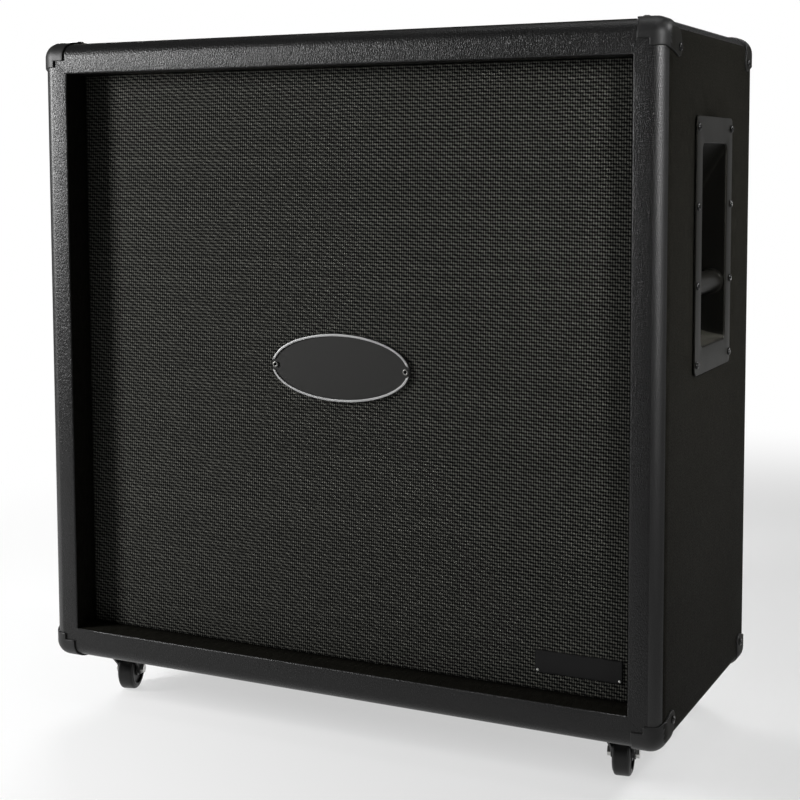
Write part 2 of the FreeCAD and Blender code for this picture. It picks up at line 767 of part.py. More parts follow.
# the solder terminal stands on the flange, on the side facing the middle of the cabinet
terminal_radius = speaker_radius - terminal_inset - terminal_radial / 2
terminal = block(-terminal_radial / 2, terminal_radial / 2, flange_back, flange_back + terminal_height,
                 -terminal_width / 2, terminal_width / 2)
terminal_reach = terminal_radius / math.sqrt(2)
gaskets = []
all_speaker_screws = []
baffle_cuts = [baffle_hole_tool]
cutout = rod(speaker_cutout_radius, Vector(0, -baffle_thickness - overrun, 0), Vector(0, overrun, 0))
for name, (side_x, side_z) in speaker_places.items():
    block_copy = terminal.copy()
    block_copy.rotate(Vector(0, 0, 0), along_y, side_x * side_z * -45)
    block_copy.translate(Vector(-side_x * terminal_reach, 0, -side_z * terminal_reach))
    save("speaker_" + name + "_basket", [at_speaker(piece, side_x, side_z) for piece in (basket, block_copy)])
    save("speaker_" + name + "_motor", [at_speaker(piece, side_x, side_z) for piece in speaker_motor()])
    save("speaker_" + name + "_cone", [at_speaker(speaker_cone(), side_x, side_z)])
    save("speaker_" + name + "_suspension", [at_speaker(p, side_x, side_z) for p in speaker_suspension()])
    gaskets.append(at_speaker(gasket, side_x, side_z))
    all_speaker_screws += [at_speaker(piece, side_x, side_z) for piece in speaker_screws]
    baffle_cuts += [at_speaker(cutout, side_x, side_z), at_speaker(speaker_holes, side_x, side_z)]
save("speaker_gaskets", gaskets)
save("speaker_screws", all_speaker_screws)
baffle = slab(baffle_half_width, baffle_y, baffle_rear_y, baffle_half_height)
for cut in baffle_cuts:
    baffle = baffle.cut(cut)
save("baffle_board", [baffle])

# Grille: a frame with a cross, cloth stretched over it, badge and name plate on the cloth
cloth_half_width = opening_half_width - grille_fit_gap
cloth_half_height = opening_half_height - grille_fit_gap
board_half_width = cloth_half_width - cloth_thickness
board_half_height = cloth_half_height - cloth_thickness
grille_board = slab(board_half_width, grille_y, baffle_y, board_half_height)
hole_x = board_half_width - grille_rail_width
hole_z = board_half_height - grille_rail_width
for side_x in (-1, 1):
    for side_z in (-1, 1):
        xs = sorted((side_x * grille_cross_width / 2, side_x * hole_x))
        zs = sorted((side_z * grille_cross_width / 2, side_z * hole_z))
        grille_board = grille_board.cut(block(xs[0], xs[1], grille_y - overrun, baffle_y + overrun,
                                              middle_z + zs[0], middle_z + zs[1]))
cloth = slab(cloth_half_width, cloth_y, baffle_y, cloth_half_height)
cloth = cloth.cut(slab(board_half_width, grille_y, baffle_y + overrun, board_half_height))


def oval(width, height, y0, y1):
    curve = Part.Ellipse(Vector(0, 0, 0), width / 2, height / 2).toShape()
    face = Part.Face(Part.Wire(curve))
    face.rotate(Vector(0, 0, 0), along_x, 90)
    face.translate(Vector(0, y0, middle_z))
    return face.extrude(Vector(0, y1 - y0, 0))


badge_front = cloth_y - badge_thickness
rim_front = badge_front - badge_rim_height
badge = oval(badge_width, badge_height, rim_front, cloth_y)
field = oval(badge_width - 2 * badge_rim_width, badge_height - 2 * badge_rim_width,
             rim_front - overrun, badge_front)
badge_screw_x = badge_width / 2 - badge_screw_inset
badge_places = [Vector(side * badge_screw_x, badge_front, middle_z) for side in (-1, 1)]
bosses = [rod(badge_boss_radius, place + inward_front * (badge_rim_height + overrun), place)
          for place in badge_places]
toward_back = Vector(0, 1, 0)
badge_holes = [screw_hole(badge_screw, place, toward_back) for place in badge_places]
badge_screws = [screw(badge_screw, place, toward_back) for place in badge_places]
badge = badge.cut(fused([field] + bosses)).cut(Part.makeCompound(badge_holes))

plate_right = opening_half_width - name_plate_side_gap
plate_left = plate_right - name_plate_width
plate_low = middle_z - opening_half_height + name_plate_low_gap
name_plate_front = cloth_y - name_plate_thickness
plate_top = plate_low + name_plate_height
name_plate = block(plate_left, plate_right, name_plate_front, cloth_y, plate_low, plate_top)
rivet_places = [Vector(x, name_plate_front, plate_low + rivet_inset)
                for x in (plate_left + rivet_inset, plate_right - rivet_inset)]
rivet_holes = [screw_hole(rivet, place, toward_back) for place in rivet_places]
rivets = [screw(rivet, place, toward_back) for place in rivet_places]
front_holes = Part.makeCompound(badge_holes + rivet_holes)
save("grille_frame", [grille_board.cut(front_holes)])
save("grille_cloth", [cloth.cut(front_holes)])
save("badge_plate", [badge])
save("name_plate", [name_plate.cut(Part.makeCompound(rivet_holes))])
save("badge_fasteners", badge_screws + rivets)

# Back panel on battens, with its covering, a centre post and the jack plate
back_half_width = inner_half_width - skin - back_edge_gap
back_half_height = inner_half_height - skin - back_edge_gap
batten_y = back_front_y - batten_depth
top_batten = block(-inner_half_width, inner_half_width, batten_y, back_front_y,
                   inner_top_z - batten_width, inner_top_z)
side_batten = block(inner_half_width - batten_width, inner_half_width, batten_y, back_front_y,
                    inner_base_z + batten_width, inner_top_z - batten_width)
post = slab(post_width / 2, baffle_rear_y, back_front_y, post_width / 2)
back_places = edge_row(inner_half_width - batten_width / 2, inner_half_height - batten_width / 2, back_skin_y)
back_places += [Vector(0, back_skin_y, middle_z + share * post_width) for share in post_row_shares]
back_holes = Part.makeCompound([screw_hole(back_screw, place, inward_front) for place in back_places])
jack_z = middle_z - jack_plate_drop
jack_places = [Vector(side * jack_spacing / 2, back_skin_y, jack_z) for side in (-1, 1)]
jack_well_radius = jack_body_radius + jack_well_gap
well_reach = toward_back * (back_thickness + overrun)
wells = [rod(jack_well_radius, place + toward_back * overrun, place - well_reach) for place in jack_places]
plate_seat_y = back_skin_y + jack_plate_thickness
plate_half_width = jack_plate_width / 2
plate_half_height = jack_plate_height / 2
jack_plate = block(-plate_half_width, plate_half_width, back_skin_y, plate_seat_y,
                   jack_z - plate_half_height, jack_z + plate_half_height)
plate_screw_places = [Vector(side_x * (plate_half_width - jack_plate_screw_inset), plate_seat_y,
                             jack_z + side_z * (plate_half_height - jack_plate_screw_inset))
                      for side_x in (-1, 1) for side_z in (-1, 1)]
plate_holes = [screw_hole(jack_plate_screw, place, inward_front) for place in plate_screw_places]
plate_hole_tool = Part.makeCompound(plate_holes)
well_tool = Part.makeCompound(wells)
back_board = slab(back_half_width, back_front_y, back_y, back_half_height)
back_cover = slab(back_half_width, back_y, back_skin_y, back_half_height)
bushing_hole = bushing_radius + screw_clearance
plate_bores = [rod(bushing_hole, place - toward_back * overrun, place + toward_back * overrun)
               for place in jack_places]


def input_jack(place):
    # moulded body behind the plate, threaded bushing through it, two solder lugs and a plug bore
    body = rod(jack_body_radius, place - toward_back * jack_body_length, place)
    bushing = rod(bushing_radius, place, place + toward_back * bushing_length)
    lugs = []
    for side in (-1, 1):
        root = place - toward_back * jack_body_length + along_x * (side * lug_spacing / 2)
        lugs.append(rod(lug_radius, root, root - toward_back * lug_length))
    bore = rod(jack_bore_radius, place - toward_back * (jack_body_length - jack_end_wall),
               place + toward_back * (bushing_length + overrun))
    return fused([body, bushing] + lugs).cut(bore)


jacks = [input_jack(place) for place in jack_places]
nuts = []
for place in jack_places:
    seat = place + toward_back * jack_plate_thickness
    nuts.append(hex_nut(jack_nut_width, jack_nut_thickness, bushing_radius, seat, toward_back))
save("back_panel", [back_board.cut(back_holes).cut(well_tool).cut(plate_hole_tool)])
save("back_covering", [back_cover.cut(back_holes).cut(well_tool).cut(plate_hole_tool)])
battens = [top_batten, mirror_z(top_batten), side_batten, mirror_x(side_batten)]
save("back_battens", [batten.cut(back_holes) for batten in battens])
save("centre_post", [post.cut(back_holes)])
save("back_panel_screws", [screw(back_screw, place, inward_front) for place in back_places])
save("jack_plate", [jack_plate.cut(Part.makeCompound(plate_bores)).cut(plate_hole_tool)])
save("jack_plate_screws", [screw(jack_plate_screw, place, inward_front) for place in plate_screw_places])
save("input_jacks", jacks + nuts)


def wire(points):
    # straight runs joined by tangent arcs of one bend radius
    edges = []
    start = points[0]
    for before, corner, after in zip(points, points[1:], points[2:]):
        back = (before - corner).normalize()
        ahead = (after - corner).normalize()
        half_turn = (math.pi - back.getAngle(ahead)) / 2
        setback = wire_bend_radius * math.tan(half_turn)
        first = corner + back * setback
        last = corner + ahead * setback
        inside = (back + ahead).normalize()
        middle = corner + inside * (wire_bend_radius / math.cos(half_turn) - wire_bend_radius)
        edges.append(Part.makeLine(start, first))
        edges.append(Part.Arc(first, middle, last).toShape())
        start = last
    edges.append(Part.makeLine(start, points[-1]))
    path = Part.Wire(edges)
    ring = Part.Wire(Part.makeCircle(wire_radius, points[0], points[1] - points[0]))
    tube = path.makePipeShell([ring], True, False)
    expected = math.pi * wire_radius ** 2 * path.Length
    print("wire length", round(path.Length, 1), "volume ratio", round(tube.Volume / expected, 4))
    return tube


terminal_back_y = baffle_rear_y + flange_back + terminal_height
lug_end_y = back_skin_y - jack_body_length - lug_length
wire_turn_y = lug_end_y - wire_lead
terminal_x = speaker_x - terminal_reach
wires = []
for side_x in (-1, 1):
    for side_z, lug_side in ((1, -1), (-1, 1)):
        lug_x = side_x * (jack_spacing / 2 + lug_side * lug_spacing / 2)
        end_x = side_x * terminal_x
        end_z = middle_z + side_z * (speaker_x - terminal_reach)
        wires.append(wire([Vector(lug_x, lug_end_y, jack_z), Vector(lug_x, wire_turn_y, jack_z),
                           Vector(end_x, wire_turn_y, end_z), Vector(end_x, terminal_back_y, end_z)]))
save("speaker_wiring", wires)

# Vinyl: a skin over the outside that turns in round the front opening and the back opening
front_hole = slab(opening_half_width, front_y - overrun, baffle_y, opening_half_height)
lining_half_width = inner_half_width - skin
lining_half_height = inner_half_height - skin
rear_hole = slab(lining_half_width, 0, rear_y + overrun, lining_half_height)
front_lining = slab(rail_half_width, front_y + skin, baffle_y, rail_half_height).cut(front_hole)
rear_lining = slab(inner_half_width, back_front_y, rear_y - skin, inner_half_height).cut(rear_hole)
skin_shell = skin_box.cut(wood_box).cut(front_hole).cut(rear_hole)
vinyl = fused([skin_shell, front_lining, rear_lining])
vinyl_cuts = socket_holes + side_cuts + [mirror_x(cut) for cut in side_cuts] + corner_caps + corner_holes
for cut in vinyl_cuts:
    vinyl = vinyl.cut(cut)
save("vinyl_covering", [vinyl])
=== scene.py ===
import math
import bmesh
import bpy
import numpy as np
from mathutils import Matrix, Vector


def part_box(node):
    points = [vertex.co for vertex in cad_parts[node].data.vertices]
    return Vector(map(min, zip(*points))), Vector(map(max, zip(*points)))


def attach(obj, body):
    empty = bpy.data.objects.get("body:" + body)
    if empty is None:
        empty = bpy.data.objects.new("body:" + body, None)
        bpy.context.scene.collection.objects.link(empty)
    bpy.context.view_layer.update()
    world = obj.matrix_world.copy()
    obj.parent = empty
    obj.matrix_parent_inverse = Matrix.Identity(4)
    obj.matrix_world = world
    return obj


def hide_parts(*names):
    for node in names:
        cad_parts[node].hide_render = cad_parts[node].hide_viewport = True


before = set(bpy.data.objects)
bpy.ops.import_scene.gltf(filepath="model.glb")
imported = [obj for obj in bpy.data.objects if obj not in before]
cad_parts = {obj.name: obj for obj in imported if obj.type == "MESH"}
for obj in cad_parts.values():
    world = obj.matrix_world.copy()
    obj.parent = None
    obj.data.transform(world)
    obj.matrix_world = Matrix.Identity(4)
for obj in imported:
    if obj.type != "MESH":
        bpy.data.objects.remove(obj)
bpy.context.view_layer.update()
scene = bpy.context.scene
scene.view_settings.view_transform = "Standard"
metre = 1000.0  # shapes below are worked out in millimetres
mergeGap = 2e-6  # metres; points closer than this become one
upright = 0.9  # an axis with more than this of z in it counts as upright
corners = [(x, y, z) for x in (-1, 1) for y in (-1, 1) for z in (-1, 1)]


def nodeBox(node):
    lo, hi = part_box(node)  # lowest and highest corner, in millimetres
    return np.array(lo) * metre, np.array(hi) * metre


skinLo, skinHi = nodeBox("vinyl_covering")
boxMiddle = (skinLo + skinHi) / 2
boxHalf = (skinHi - skinLo) / 2
clothLo, clothHi = nodeBox("grille_cloth")
clothHalf = (clothHi - clothLo) / 2
print("frame loaded:", len(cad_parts), "nodes")


# Shapes: each is a pair of arrays, points and four-cornered faces

def gridShape(points, wrapColumns=False, keep=None):
    # joins each point of a grid to its neighbours; faces look along (column step) x (row step)
    rows, columns = points.shape[:2]
    across = columns if wrapColumns else columns - 1
    i, j = np.meshgrid(np.arange(rows - 1), np.arange(across), indexing="ij")
    near, far, ahead = i * columns, (i + 1) * columns, (j + 1) % columns
    faces = np.stack([near + j, near + ahead, far + ahead, far + j], -1)
    faces = faces.reshape(-1, 4) if keep is None else faces[keep]
    return points.reshape(-1, 3), faces


def joined(shapes):
    starts = np.cumsum([0] + [len(points) for points, _ in shapes[:-1]])
    faces = [faces + start for (_, faces), start in zip(shapes, starts)]
    return np.concatenate([points for points, _ in shapes]), np.concatenate(faces)


def arc(centre, radius, first, last, steps):
    # points on a circle, from one angle in degrees to another
    turn = np.radians(np.linspace(first, last, steps + 1))
    return np.stack([centre[0] + radius * np.cos(turn), centre[1] + radius * np.sin(turn)], -1)


def ringRound(axis, turn):
    # unit vectors square to an axis, one for each angle
    side = np.cross(axis, (0, 0, 1) if abs(axis[2]) < upright else (1, 0, 0))
    side = side / np.linalg.norm(side)
    return np.cos(turn)[:, None] * side + np.sin(turn)[:, None] * np.cross(axis, side)


def turned(profile, steps, centre, axis):
    # a profile of (radius, height) spun round an axis that passes through centre
    axis = np.asarray(axis, float) / np.linalg.norm(axis)
    ring = ringRound(axis, np.arange(steps) * 2 * math.pi / steps)
    profile = np.asarray(profile, float)
    points = profile[:, None, :1] * ring + profile[:, None, 1:] * axis + np.asarray(centre, float)
    return gridShape(points, wrapColumns=True)


def roundedLoops(halfU, halfV, radius, stationsU, stationsV, turnSteps=6):
    # one rectangle with round corners per row, walked anticlockwise from the foot of its +u side;
    # stations on the straight runs are held back to where the corner arcs begin
    halfU, halfV, radius = (np.asarray(a, float)[:, None] for a in (halfU, halfV, radius))
    straightU, straightV = halfU - radius, halfV - radius
    alongU = np.clip(stationsU, -straightU, straightU)
    alongV = np.clip(stationsV, -straightV, straightV)
    quarter = np.linspace(0, math.pi / 2, turnSteps + 1)[1:-1]

    def corner(signU, signV, start):
        return (signU * straightU + radius * np.cos(start + quarter),
                signV * straightV + radius * np.sin(start + quarter))

    runs = [(halfU + 0 * alongV, alongV), corner(1, 1, 0),
            (alongU[:, ::-1], halfV + 0 * alongU), corner(-1, 1, math.pi / 2),
            (-halfU + 0 * alongV, alongV[:, ::-1]), corner(-1, -1, math.pi),
            (alongU, -halfV + 0 * alongU), corner(1, -1, 1.5 * math.pi)]
    run = np.concatenate([np.full(u.shape[1], k) for k, (u, _) in enumerate(runs)])
    return np.concatenate([u for u, _ in runs], 1), np.concatenate([v for _, v in runs], 1), run


def stations(inner, reach=1e4):
    # places along a straight run; the far ends are clipped to the run's own ends
    return np.concatenate([[-reach], np.sort(inner), [reach]])


def mergedWork(mesh):
    # the mesh opened for editing, its loose faces joined where their points meet
    work = bmesh.new()
    work.from_mesh(mesh)
    bmesh.ops.remove_doubles(work, verts=work.verts, dist=mergeGap)
    return work


def closeWork(work, mesh, crease):
    work.to_mesh(mesh)
    work.free()
    mesh.shade_smooth()
    mesh.set_sharp_from_angle(angle=math.radians(crease))


def addMesh(name, mesh, finish, replaced, body):
    mesh.materials.append(finish)
    piece = bpy.data.objects.new(name, mesh)
    scene.collection.objects.link(piece)
    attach(piece, body)
    if replaced:
        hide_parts(*replaced)
    return piece


def addPiece(name, shape, finish, replaced=(), body="cabinet", crease=40, uv=None, closed=True):
    points, faces = shape
    mesh = bpy.data.meshes.new(name)
    mesh.from_pydata((points / metre).tolist(), [], faces.tolist())
    if uv is not None:
        mesh.uv_layers.new(name="grain").data.foreach_set("uv", uv.astype(np.float32).ravel())
    work = mergedWork(mesh)
    if closed:
        bmesh.ops.recalc_face_normals(work, faces=work.faces)
    closeWork(work, mesh, crease)
    return addMesh(name, mesh, finish, replaced, body)


def faceData(piece, kind):
    values = np.empty(3 * len(piece.data.polygons), np.float32)
    piece.data.polygons.foreach_get(kind, values)
    return values.reshape(-1, 3)


def useAlso(piece, *choices):
    # further finishes, each on its chosen faces; a later choice lies over an earlier one
    index = np.zeros(len(piece.data.polygons), np.int32)
    for count, (finish, chosen) in enumerate(choices, 1):
        piece.data.materials.append(finish)
        index[chosen] = count
    piece.data.polygons.foreach_set("material_index", index)


def thicken(piece, thickness):
    wall = piece.modifiers.new("wall", "SOLIDIFY")
    wall.thickness = thickness / metre
    wall.offset = -1
    wall.use_even_offset = True


eased = {"segments": 2, "crease": 35, "flat": 0.5}


def bevelledCopy(name, node, finish, width, body="cabinet"):
    # the construction's own shape, its loose triangles merged and its edges eased
    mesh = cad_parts[node].data.copy()
    mesh.name = name
    work = mergedWork(mesh)
    level = math.radians(eased["flat"])
    flat = [e for e in work.edges if len(e.link_faces) == 2 and e.calc_face_angle(1) < level]
    bmesh.ops.dissolve_edges(work, edges=flat, use_verts=False)
    closeWork(work, mesh, eased["crease"])
    mesh.materials.clear()
    piece = addMesh(name, mesh, finish, [node], body)
    ease = piece.modifiers.new("ease", "BEVEL")
    ease.width = width / metre
    ease.segments = eased["segments"]
    ease.limit_method = "ANGLE"
    ease.angle_limit = math.radians(eased["crease"])
    ease.harden_normals = True
    return piece


# Finishes: a socket in arithmetic adds its own Math nodes

class Socket:
    def __init__(self, finish, link):
        self.finish = finish
        self.link = link

    def math(self, operation, *others):
        values = dict(enumerate([self, *others]))
        return self.finish.node("ShaderNodeMath", {"operation": operation}, values)

    def __add__(self, other):
        return self.math("ADD", other)

    def __mul__(self, other):
        return self.math("MULTIPLY", other)

    def __sub__(self, other):
        return self.math("SUBTRACT", other)

    def __rsub__(self, other):
        return self.finish.node("ShaderNodeMath", {"operation": "SUBTRACT"}, {0: other, 1: self})

    __radd__ = __add__
    __rmul__ = __mul__

    def smooth(self, low, high):
        # 0 below low, 1 above high, eased between
        limits = {"Value": self, "From Min": low, "From Max": high}
        return self.finish.node("ShaderNodeMapRange", {"interpolation_type": "SMOOTHSTEP"}, limits)


class Finish:
    def __init__(self, name):
        self.material = bpy.data.materials.new(name)
        self.material.use_nodes = True
        self.tree = self.material.node_tree
        self.shader = self.tree.nodes["Principled BSDF"]

    def node(self, kind, settings=(), sockets=(), output=0):
        made = self.tree.nodes.new(kind)
        for key, value in dict(settings).items():
            setattr(made, key, value)
        for key, value in dict(sockets).items():
            self.feed(made.inputs[key], value)
        return Socket(self, made.outputs[output])

    def feed(self, target, value):
        if isinstance(value, Socket):
            self.tree.links.new(value.link, target)
        elif target.type == "RGBA":
            target.default_value = (*value, 1)
        else:
            target.default_value = value

    def place(self):
        return self.node("ShaderNodeTexCoord", {}, {}, "Object")

    def split(self, vector):
        parts = self.node("ShaderNodeSeparateXYZ", {}, {0: vector})
        return [Socket(self, parts.link.node.outputs[k]) for k in range(3)]

    def scaled(self, vector, factors):
        return self.node("ShaderNodeVectorMath", {"operation": "MULTIPLY"}, {0: vector, 1: factors})

    def noise(self, vector, scale, detail=2.0, rough=0.5, distortion=0.0):
        sockets = {"Vector": vector, "Scale": scale, "Detail": detail, "Roughness": rough,
                   "Distortion": distortion}
        return self.node("ShaderNodeTexNoise", {}, sockets)

    def mix(self, factor, first, second):
        # a colour mix has its factor and colours at sockets 0, 6 and 7, and its result at output 2
        return self.node("ShaderNodeMix", {"data_type": "RGBA"}, {0: factor, 6: first, 7: second}, 2)

    def bump(self, height, distance, strength):
        sockets = {"Height": height, "Distance": distance / metre, "Strength": strength}
        return self.node("ShaderNodeBump", {}, sockets)

    def done(self, **sockets):
        for key, value in sockets.items():
            self.feed(self.shader.inputs[socketNames[key]], value)
        return self.material


socketNames = {"colour": "Base Color", "roughness": "Roughness", "metal": "Metallic", "normal": "Normal",
               "specular": "Specular IOR Level", "tint": "Specular Tint"}
amber = {"red": 0.4, "blue": -1.6}


def grey(level, warm=0.0):
    # a grey that leans to amber: a little more red and a good deal less blue
    return (level * (1 + amber["red"] * warm), level, level * (1 + amber["blue"] * warm))


vinyl = {"dark": 0.0034, "light": 0.0095, "across": 2.0, "along": 4.0, "depth": 0.22, "roughness": 0.28,
         "wander": 0.14, "push": (2.2, 1.1), "cellEdge": 0.35, "pores": (1.0, 0.45, 1.0), "poreScale": 1.3,
         "wrinkle": (0.50, 0.24, 1.0), "streak": (0.28, 0.06, 1.0), "streakEnds": (0.3, 0.7),
         "patchScale": 6, "heights": (0.7, 0.5, 1.6), "patchGloss": 0.12, "cellGloss": 0.22,
         "seam": (0.3, 1.2), "seamDepth": 0.8, "seamFace": (4, 1)}


def vinylFinish(name, specular, warm=0.0, flat=False, matt=0.0, grain=0.8, streak=0.0):
    # leather grain pressed in the covering: long cells, fine pores between them, and slow wrinkles;
    # a flat panel takes its grain from its place, the wrapped box from its map
    f = Finish(name)
    place = f.place()
    x, y, z = f.split(place)
    if flat:
        cloth = f.node("ShaderNodeCombineXYZ", {}, {0: x * metre, 1: z * metre})
    else:
        cloth = f.node("ShaderNodeUVMap", {"uv_map": "grain"})
    wander = f.noise(cloth, vinyl["wander"])
    u, v, _ = f.split(cloth)
    pushU, pushV = vinyl["push"]
    cells = f.node("ShaderNodeCombineXYZ", {}, {0: u * (1 / vinyl["across"]) + wander * pushU,
                                                1: v * (1 / vinyl["along"]) + wander * pushV})
    edge = f.node("ShaderNodeTexVoronoi", {"voronoi_dimensions": "2D", "feature": "DISTANCE_TO_EDGE"},
                  {"Vector": cells, "Scale": 1.0, "Randomness": 1.0})
    pebble = edge.smooth(0.0, vinyl["cellEdge"])
    pores = f.noise(f.scaled(cloth, vinyl["pores"]), vinyl["poreScale"])
    wrinkle = f.noise(f.scaled(cloth, vinyl["wrinkle"]), 1.0, detail=3, rough=0.6, distortion=0.8)
    patch = f.noise(place, vinyl["patchScale"], detail=3)
    drawn = f.noise(f.scaled(cloth, vinyl["streak"]), 1.0, detail=3, rough=0.6).smooth(*vinyl["streakEnds"])
    cellHeight, poreHeight, wrinkleHeight = vinyl["heights"]
    height = pebble * cellHeight + pores * poreHeight + wrinkle * wrinkleHeight
    shade = pebble * 0.5 + wrinkle * 0.5
    tone = shade * (1 - streak) + drawn * streak
    colour = f.mix(tone, grey(vinyl["dark"], warm), grey(vinyl["light"], warm))
    rough = vinyl["roughness"] + matt + patch * vinyl["patchGloss"] + (0.5 - shade) * vinyl["cellGloss"]
    # mitred seams of the front frame: the ways in from the side and from the top or bottom are equal
    fromSide = x.math("ABSOLUTE") - boxHalf[0] / metre
    fromTop = (z - boxMiddle[2] / metre).math("ABSOLUTE") - boxHalf[2] / metre
    mitre = (fromSide - fromTop).math("ABSOLUTE")
    onFace = (0 - y).smooth(*((boxHalf[1] - behind) / metre for behind in vinyl["seamFace"]))
    seam = (1 - mitre.smooth(*(width / metre for width in vinyl["seam"]))) * onFace
    height = height - seam * vinyl["seamDepth"]
    return f.done(colour=colour, roughness=rough, specular=specular, tint=grey(1 - warm, warm),
                  normal=f.bump(height, vinyl["depth"], grain))


weave = {"warpPitch": 2.75, "weftPitch": 3.45, "gap": grey(0.0005), "weft": (0.092, 0.092, 0.081),
         "wander": 35, "warpWander": 0.4, "weftWander": 0.6, "row": 0.46, "line": 0.29, "column": 0.42,
         "crossing": 0.18, "liftEnds": (-0.40, 0.95), "strand": (1.0, 1.0, 2.4), "strandScale": 130,
         "strandEnds": (0.25, 0.75), "tones": (0.5, 0.15, 0.35), "hole": 0.92, "thread": 0.2, "depth": 0.5,
         "bump": 0.6, "specular": 0.08}


def weaveFinish():
    # twill: cosine ridges along the rows and the columns, and a line of floats that leans over
    # four warps and two wefts; where all of them are low there is a hole
    f = Finish("black_grille_weave")
    place = f.place()
    wander = f.noise(place, weave["wander"]) - 0.5
    x, _, z = f.split(place)
    warp = x * (metre / weave["warpPitch"]) + wander * weave["warpWander"]
    weft = z * (metre / weave["weftPitch"]) + wander * weave["weftWander"]
    row = (weft * (2 * math.pi)).math("COSINE")
    column = (warp * (2 * math.pi)).math("COSINE")
    line = (warp * (math.pi / 2) + weft * math.pi).math("COSINE")
    lift = (row * weave["row"] + line * weave["line"] + column * weave["column"]
            + line * column * weave["crossing"])
    thread = lift.smooth(*weave["liftEnds"])
    weftNumber = (weft + 0.5).math("FLOOR")
    weftTone = f.node("ShaderNodeTexWhiteNoise", {"noise_dimensions": "1D"}, {"W": weftNumber})
    strand = f.noise(f.scaled(place, weave["strand"]), weave["strandScale"]).smooth(*weave["strandEnds"])
    base, byWeft, byStrand = weave["tones"]
    tone = thread * (base + weftTone * byWeft + strand * byStrand)
    return f.done(colour=f.mix(tone, weave["gap"], weave["weft"]), specular=weave["specular"],
                  roughness=weave["hole"] - thread * weave["thread"],
                  normal=f.bump(thread, weave["depth"], weave["bump"]))


plasticLook = {"patchScale": 18, "sparkTone": 0.6, "patchGloss": 0.14, "sparkGloss": 0.1, "bump": 0.6}


def mouldedFinish(name, dark, light, rough, grainSize, depth, specular=0.3, warm=0.0):
    # moulded plastic: fine spark texture, slow patches of gloss
    f = Finish(name)
    place = f.place()
    spark = f.noise(place, metre / grainSize, detail=3, rough=0.6)
    patch = f.noise(place, plasticLook["patchScale"], detail=3)
    tone = spark * plasticLook["sparkTone"] + patch * (1 - plasticLook["sparkTone"])
    gloss = (patch - 0.5) * plasticLook["patchGloss"] + (spark - 0.5) * plasticLook["sparkGloss"]
    return f.done(colour=f.mix(tone, grey(dark, warm), grey(light, warm)), roughness=rough + gloss,
                  specular=specular, tint=grey(1 - warm, warm),
                  normal=f.bump(spark, depth, plasticLook["bump"]))


metalLook = {"patchScale": 40, "dark": 0.72, "scratchGloss": 0.25, "patchGloss": 0.1, "bump": 0.5}


def metalFinish(name, colour, rough, grainSize, depth, metal=1.0):
    # metal with fine scratches and slow patches
    f = Finish(name)
    place = f.place()
    scratch = f.noise(place, metre / grainSize, detail=3, rough=0.65)
    patch = f.noise(place, metalLook["patchScale"])
    darker = tuple(part * metalLook["dark"] for part in colour)
    gloss = (scratch - 0.5) * metalLook["scratchGloss"] + (patch - 0.5) * metalLook["patchGloss"]
    return f.done(colour=f.mix(scratch * 0.5 + patch * 0.5, darker, colour), metal=metal,
                  roughness=rough + gloss, normal=f.bump(scratch, depth, metalLook["bump"]))


woodLook = {"rings": 26.0, "ringEnds": (-0.2, 1.0), "ringTone": 0.7, "poreFineness": 5.0, "roughness": 0.62,
            "poreGloss": 0.2, "depth": 0.15, "bump": 0.5}


def woodFinish(name, early, late, ring, lean):
    # rings of darker late wood along the grain, broken by fine pores
    f = Finish(name)
    along = f.scaled(f.place(), lean)
    grain = f.noise(along, metre / ring, detail=4, rough=0.6, distortion=0.6)
    bands = (grain * woodLook["rings"]).math("SINE").smooth(*woodLook["ringEnds"])
    pores = f.noise(along, woodLook["poreFineness"] * metre / ring)
    tone = bands * woodLook["ringTone"] + pores * (1 - woodLook["ringTone"])
    return f.done(colour=f.mix(tone, early, late),
                  roughness=woodLook["roughness"] + pores * woodLook["poreGloss"],
                  normal=f.bump(pores, woodLook["depth"], woodLook["bump"]))


paperLook = {"roughness": 0.9, "specular": 0.2, "depth": 0.2, "bump": 0.6}


def paperFinish(name, dark, light, fibre):
    # felted fibres
    f = Finish(name)
    felt = f.noise(f.place(), metre / fibre, detail=4, rough=0.7, distortion=0.8)
    return f.done(colour=f.mix(felt, dark, light), roughness=paperLook["roughness"],
                  specular=paperLook["specular"], normal=f.bump(felt, paperLook["depth"], paperLook["bump"]))


badgeLook = {"rimEdge": (0.5, 1.0), "brush": (0.06, 1, 1), "brushScale": 2600, "sprayScale": 1500,
             "field": (grey(0.006, 0.06), grey(0.011, 0.06)), "rim": (grey(0.26), grey(0.38)),
             "roughness": 0.5, "rimGloss": 0.08, "brushGloss": 0.12, "metal": 0.85, "specular": 0.22,
             "depth": 0.06, "bump": 0.5}


def badgeFinish(fieldY):
    # raised rim rubbed bright, sunk field sprayed dark; the height of the face tells them apart
    f = Finish("badge_metal")
    place = f.place()
    _, y, _ = f.split(place)
    rim = (0 - y).smooth(*((step - fieldY) / metre for step in badgeLook["rimEdge"]))
    brush = f.noise(f.scaled(place, badgeLook["brush"]), badgeLook["brushScale"], rough=0.6)
    spray = f.noise(place, badgeLook["sprayScale"], detail=3, rough=0.6)
    colour = f.mix(rim, f.mix(spray, *badgeLook["field"]), f.mix(brush, *badgeLook["rim"]))
    rough = badgeLook["roughness"] - rim * badgeLook["rimGloss"] + brush * badgeLook["brushGloss"]
    height = spray * (1 - rim) + brush * rim
    return f.done(colour=colour, metal=rim * badgeLook["metal"], roughness=rough,
                  specular=badgeLook["specular"],
                  normal=f.bump(height, badgeLook["depth"], badgeLook["bump"]))


blackVinyl = vinylFinish("black_grained_vinyl", 0.25)
# a duller, warmer copy of the vinyl for the side and top faces: painted shade and a painted warm cast stand
# in for how the light falls there; the streaks drawn along it are the covering's own grain
sideVinylPaintedShade = vinylFinish("black_grained_vinyl_side_painted_shade", 0.023, 0.12, matt=0.4, streak=0.6)
